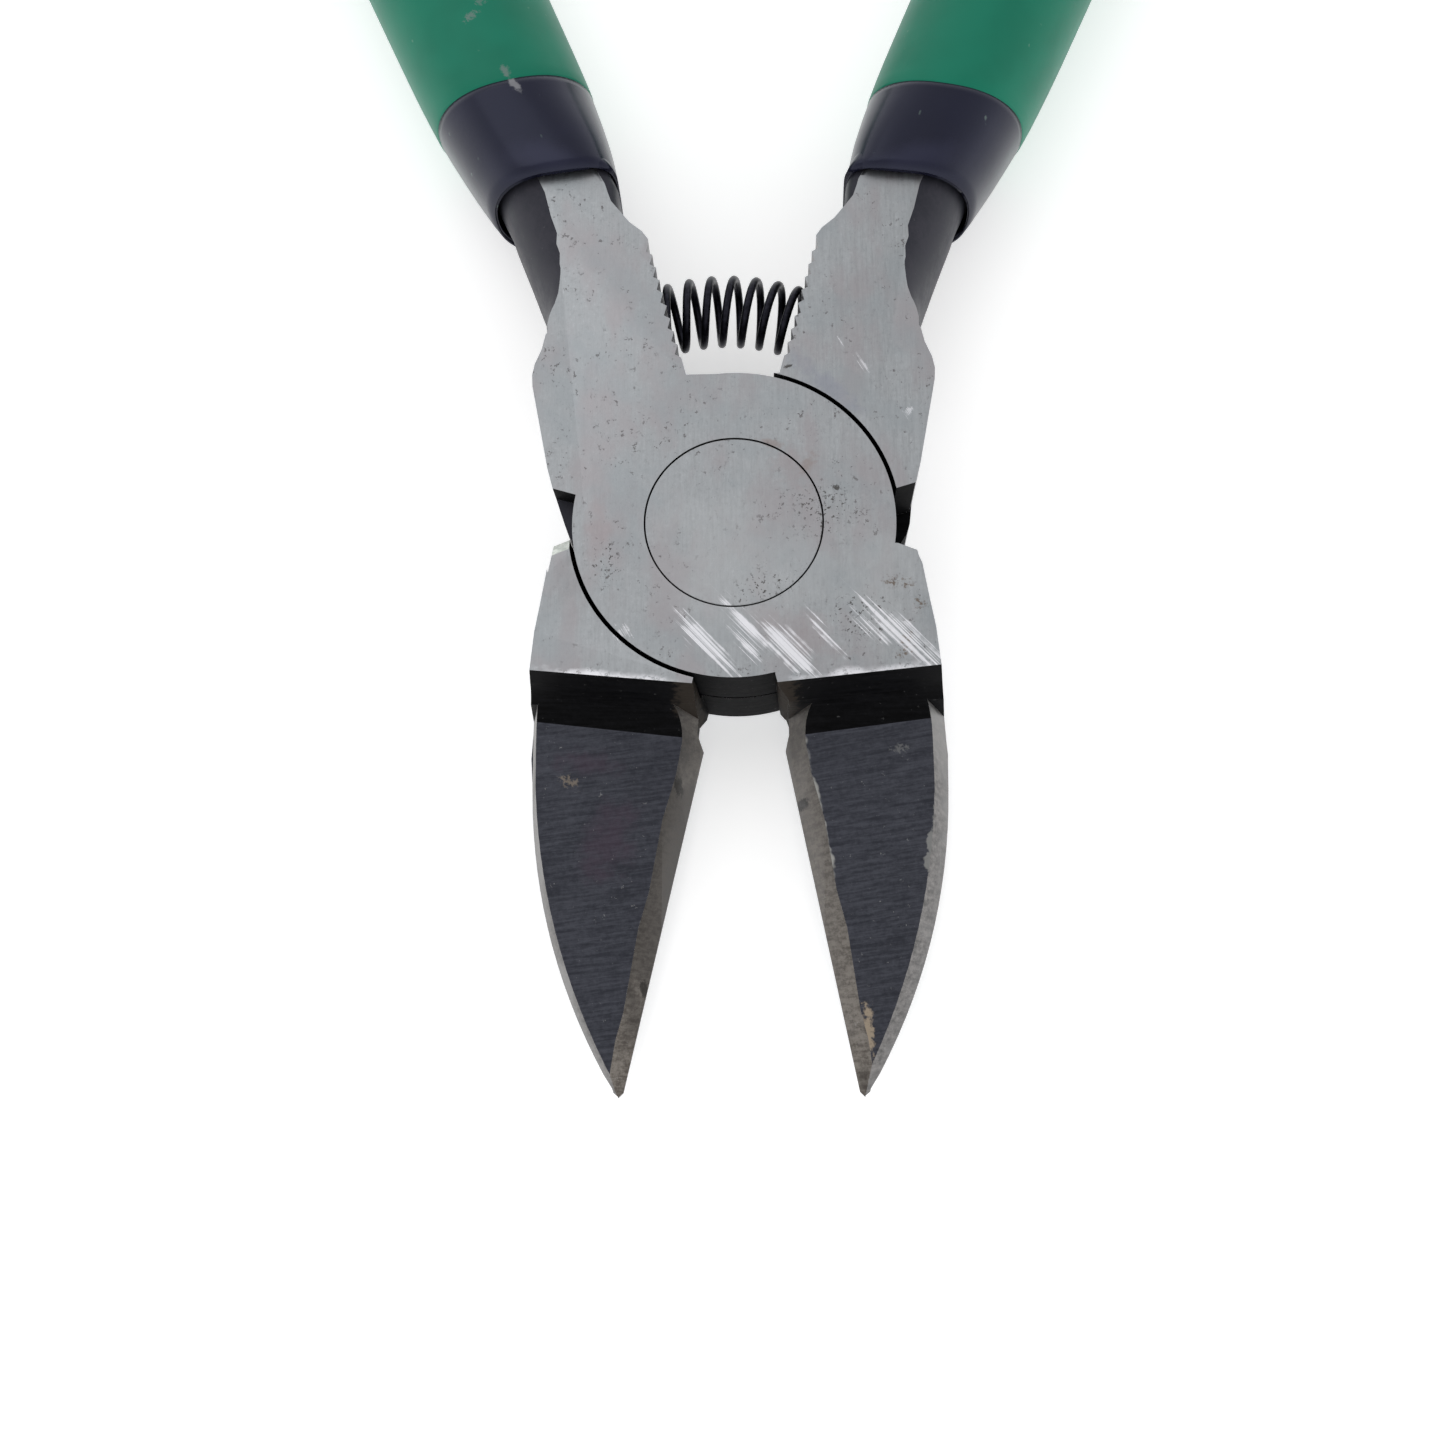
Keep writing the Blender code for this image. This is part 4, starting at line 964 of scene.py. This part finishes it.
def spring_point(run):
    """Point on the wire's centre line, at a distance along the bowed axis from its crest."""
    bend = max(-SPRING_BOW_REACH, min(SPRING_BOW_REACH, run))
    bow = bend / SPRING_BOW_RADIUS
    direction = Vector((math.cos(bow), -math.sin(bow), 0.0))
    sag = SPRING_BOW_RADIUS * (1 - math.cos(bow))
    crest_x, crest_y = SPRING_CREST
    point = Vector((crest_x + SPRING_BOW_RADIUS * math.sin(bow), crest_y - sag, MID_HEIGHT))
    point += direction * (run - bend)
    lean = SPRING_LEAN - bow * SPRING_LEAN_SHARE
    sideways = Vector((-math.sin(lean), math.cos(lean), 0.0))
    angle = SPRING_START_ANGLE - 2 * math.pi * run / SPRING_PITCH
    return point + (sideways * math.cos(angle) + Vector((0.0, 0.0, math.sin(angle)))) * SPRING_RADIUS


def coil_mesh():
    """The wire along its line, as a mesh."""
    first, last = SPRING_ENDS
    steps = round((last - first) / SPRING_PITCH * SPRING_STEPS_PER_TURN)
    curve = bpy.data.curves.new("coil", "CURVE")
    curve.dimensions = "3D"
    curve.bevel_depth = SPRING_WIRE_RADIUS * MM
    curve.bevel_resolution = SPRING_WIRE_RESOLUTION
    curve.use_fill_caps = True
    spline = curve.splines.new("POLY")
    spline.points.add(steps)
    for index in range(steps + 1):
        run = first + (last - first) * index / steps
        spline.points[index].co = (*(spring_point(run) * MM), 1.0)
    coil = bpy.data.objects.new("coil_curve", curve)
    mesh = bpy.data.meshes.new_from_object(coil)
    bpy.data.objects.remove(coil)
    shape = bmesh.new()
    shape.from_mesh(mesh)
    bmesh.ops.remove_doubles(shape, verts=shape.verts, dist=SPRING_WELD * MM)
    bmesh.ops.recalc_face_normals(shape, faces=shape.faces)
    shape.to_mesh(mesh)
    shape.free()
    mesh.shade_smooth()
    return mesh


def return_spring(material):
    """The coil, in place of the CAD spring."""
    mesh = coil_mesh()
    mesh.materials.clear()
    mesh.materials.append(material)
    piece = bpy.data.objects.new("coil", mesh)
    bpy.context.scene.collection.objects.link(piece)
    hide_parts("return_spring")
    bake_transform(piece)
    return piece


# ---------------------------------------------------------------- stage


def make_floor():
    """A plain pale floor under the lowest grip point."""
    low, _high = CAD_BOX
    mesh = bpy.data.meshes.new("floor")
    shape = bmesh.new()
    bmesh.ops.create_grid(shape, x_segments=1, y_segments=1, size=FLOOR_REACH * MM)
    shape.to_mesh(mesh)
    shape.free()
    floor = bpy.data.objects.new("floor", mesh)
    floor.location.z = low.z - FLOOR_DROP * MM
    graph = Graph("pale_floor", FLOOR_ROUGHNESS)
    graph.shader.inputs["Emission Color"].default_value = WHITE
    graph.shader.inputs["Emission Strength"].default_value = FLOOR_GLOW
    mesh.materials.append(graph.finish(FLOOR_COLOUR))
    bpy.context.scene.collection.objects.link(floor)


def make_light(name, place, energy, size):
    """A soft square lamp that looks at the joint."""
    lamp = bpy.data.lights.new(name, "AREA")
    lamp.energy = energy
    lamp.size = size * MM
    item = bpy.data.objects.new(name, lamp)
    item.location = Vector(place) * MM
    item.rotation_euler = (-item.location).to_track_quat("-Z", "Y").to_euler()
    bpy.context.scene.collection.objects.link(item)


def make_studio():
    """Surroundings that are bright at the horizon and dimmer overhead, with one soft lamp."""
    world = bpy.data.worlds.new("studio")
    world.use_nodes = True
    nodes = world.node_tree.nodes
    links = world.node_tree.links
    place = nodes.new("ShaderNodeTexCoord")
    split = nodes.new("ShaderNodeSeparateXYZ")
    fade = nodes.new("ShaderNodeMapRange")
    fade.inputs["From Min"].default_value = 0.0
    fade.inputs["From Max"].default_value = 1.0
    fade.inputs["To Min"].default_value = HORIZON_LIGHT
    fade.inputs["To Max"].default_value = ZENITH_LIGHT
    links.new(place.outputs["Generated"], split.inputs[0])
    links.new(split.outputs["Z"], fade.inputs["Value"])
    links.new(fade.outputs["Result"], nodes["Background"].inputs["Strength"])
    nodes["Background"].inputs["Color"].default_value = WHITE
    bpy.context.scene.world = world
    bpy.context.scene.view_settings.view_transform = "Standard"
    make_light("key", KEY_PLACE, KEY_POWER, KEY_SIZE)


def make_camera():
    """The reference viewpoint."""
    right = Vector(CAMERA_RIGHT).normalized()
    up = (Vector(CAMERA_UP) - right * right.dot(Vector(CAMERA_UP))).normalized()
    back = right.cross(up)
    camera = bpy.data.cameras.new("camera")
    camera.sensor_width = SENSOR_WIDTH
    camera.lens = LENS_LENGTH
    camera.clip_start = MM
    item = bpy.data.objects.new("camera", camera)
    turn = Matrix((right, up, back)).transposed().to_4x4()
    item.matrix_world = Matrix.Translation(Vector(CAMERA_PLACE) * MM) @ turn
    bpy.context.scene.collection.objects.link(item)
    bpy.context.scene.camera = item


MATERIALS = make_materials()
make_camera()
make_studio()
make_floor()
rivet(MATERIALS)
return_spring(MATERIALS["wire"])
for layer_name in ("upper", "lower"):
    steel_half(layer_name, MATERIALS)
    collar(layer_name, MATERIALS["vinyl_black"])
    green_grip(layer_name, MATERIALS["vinyl_green"])
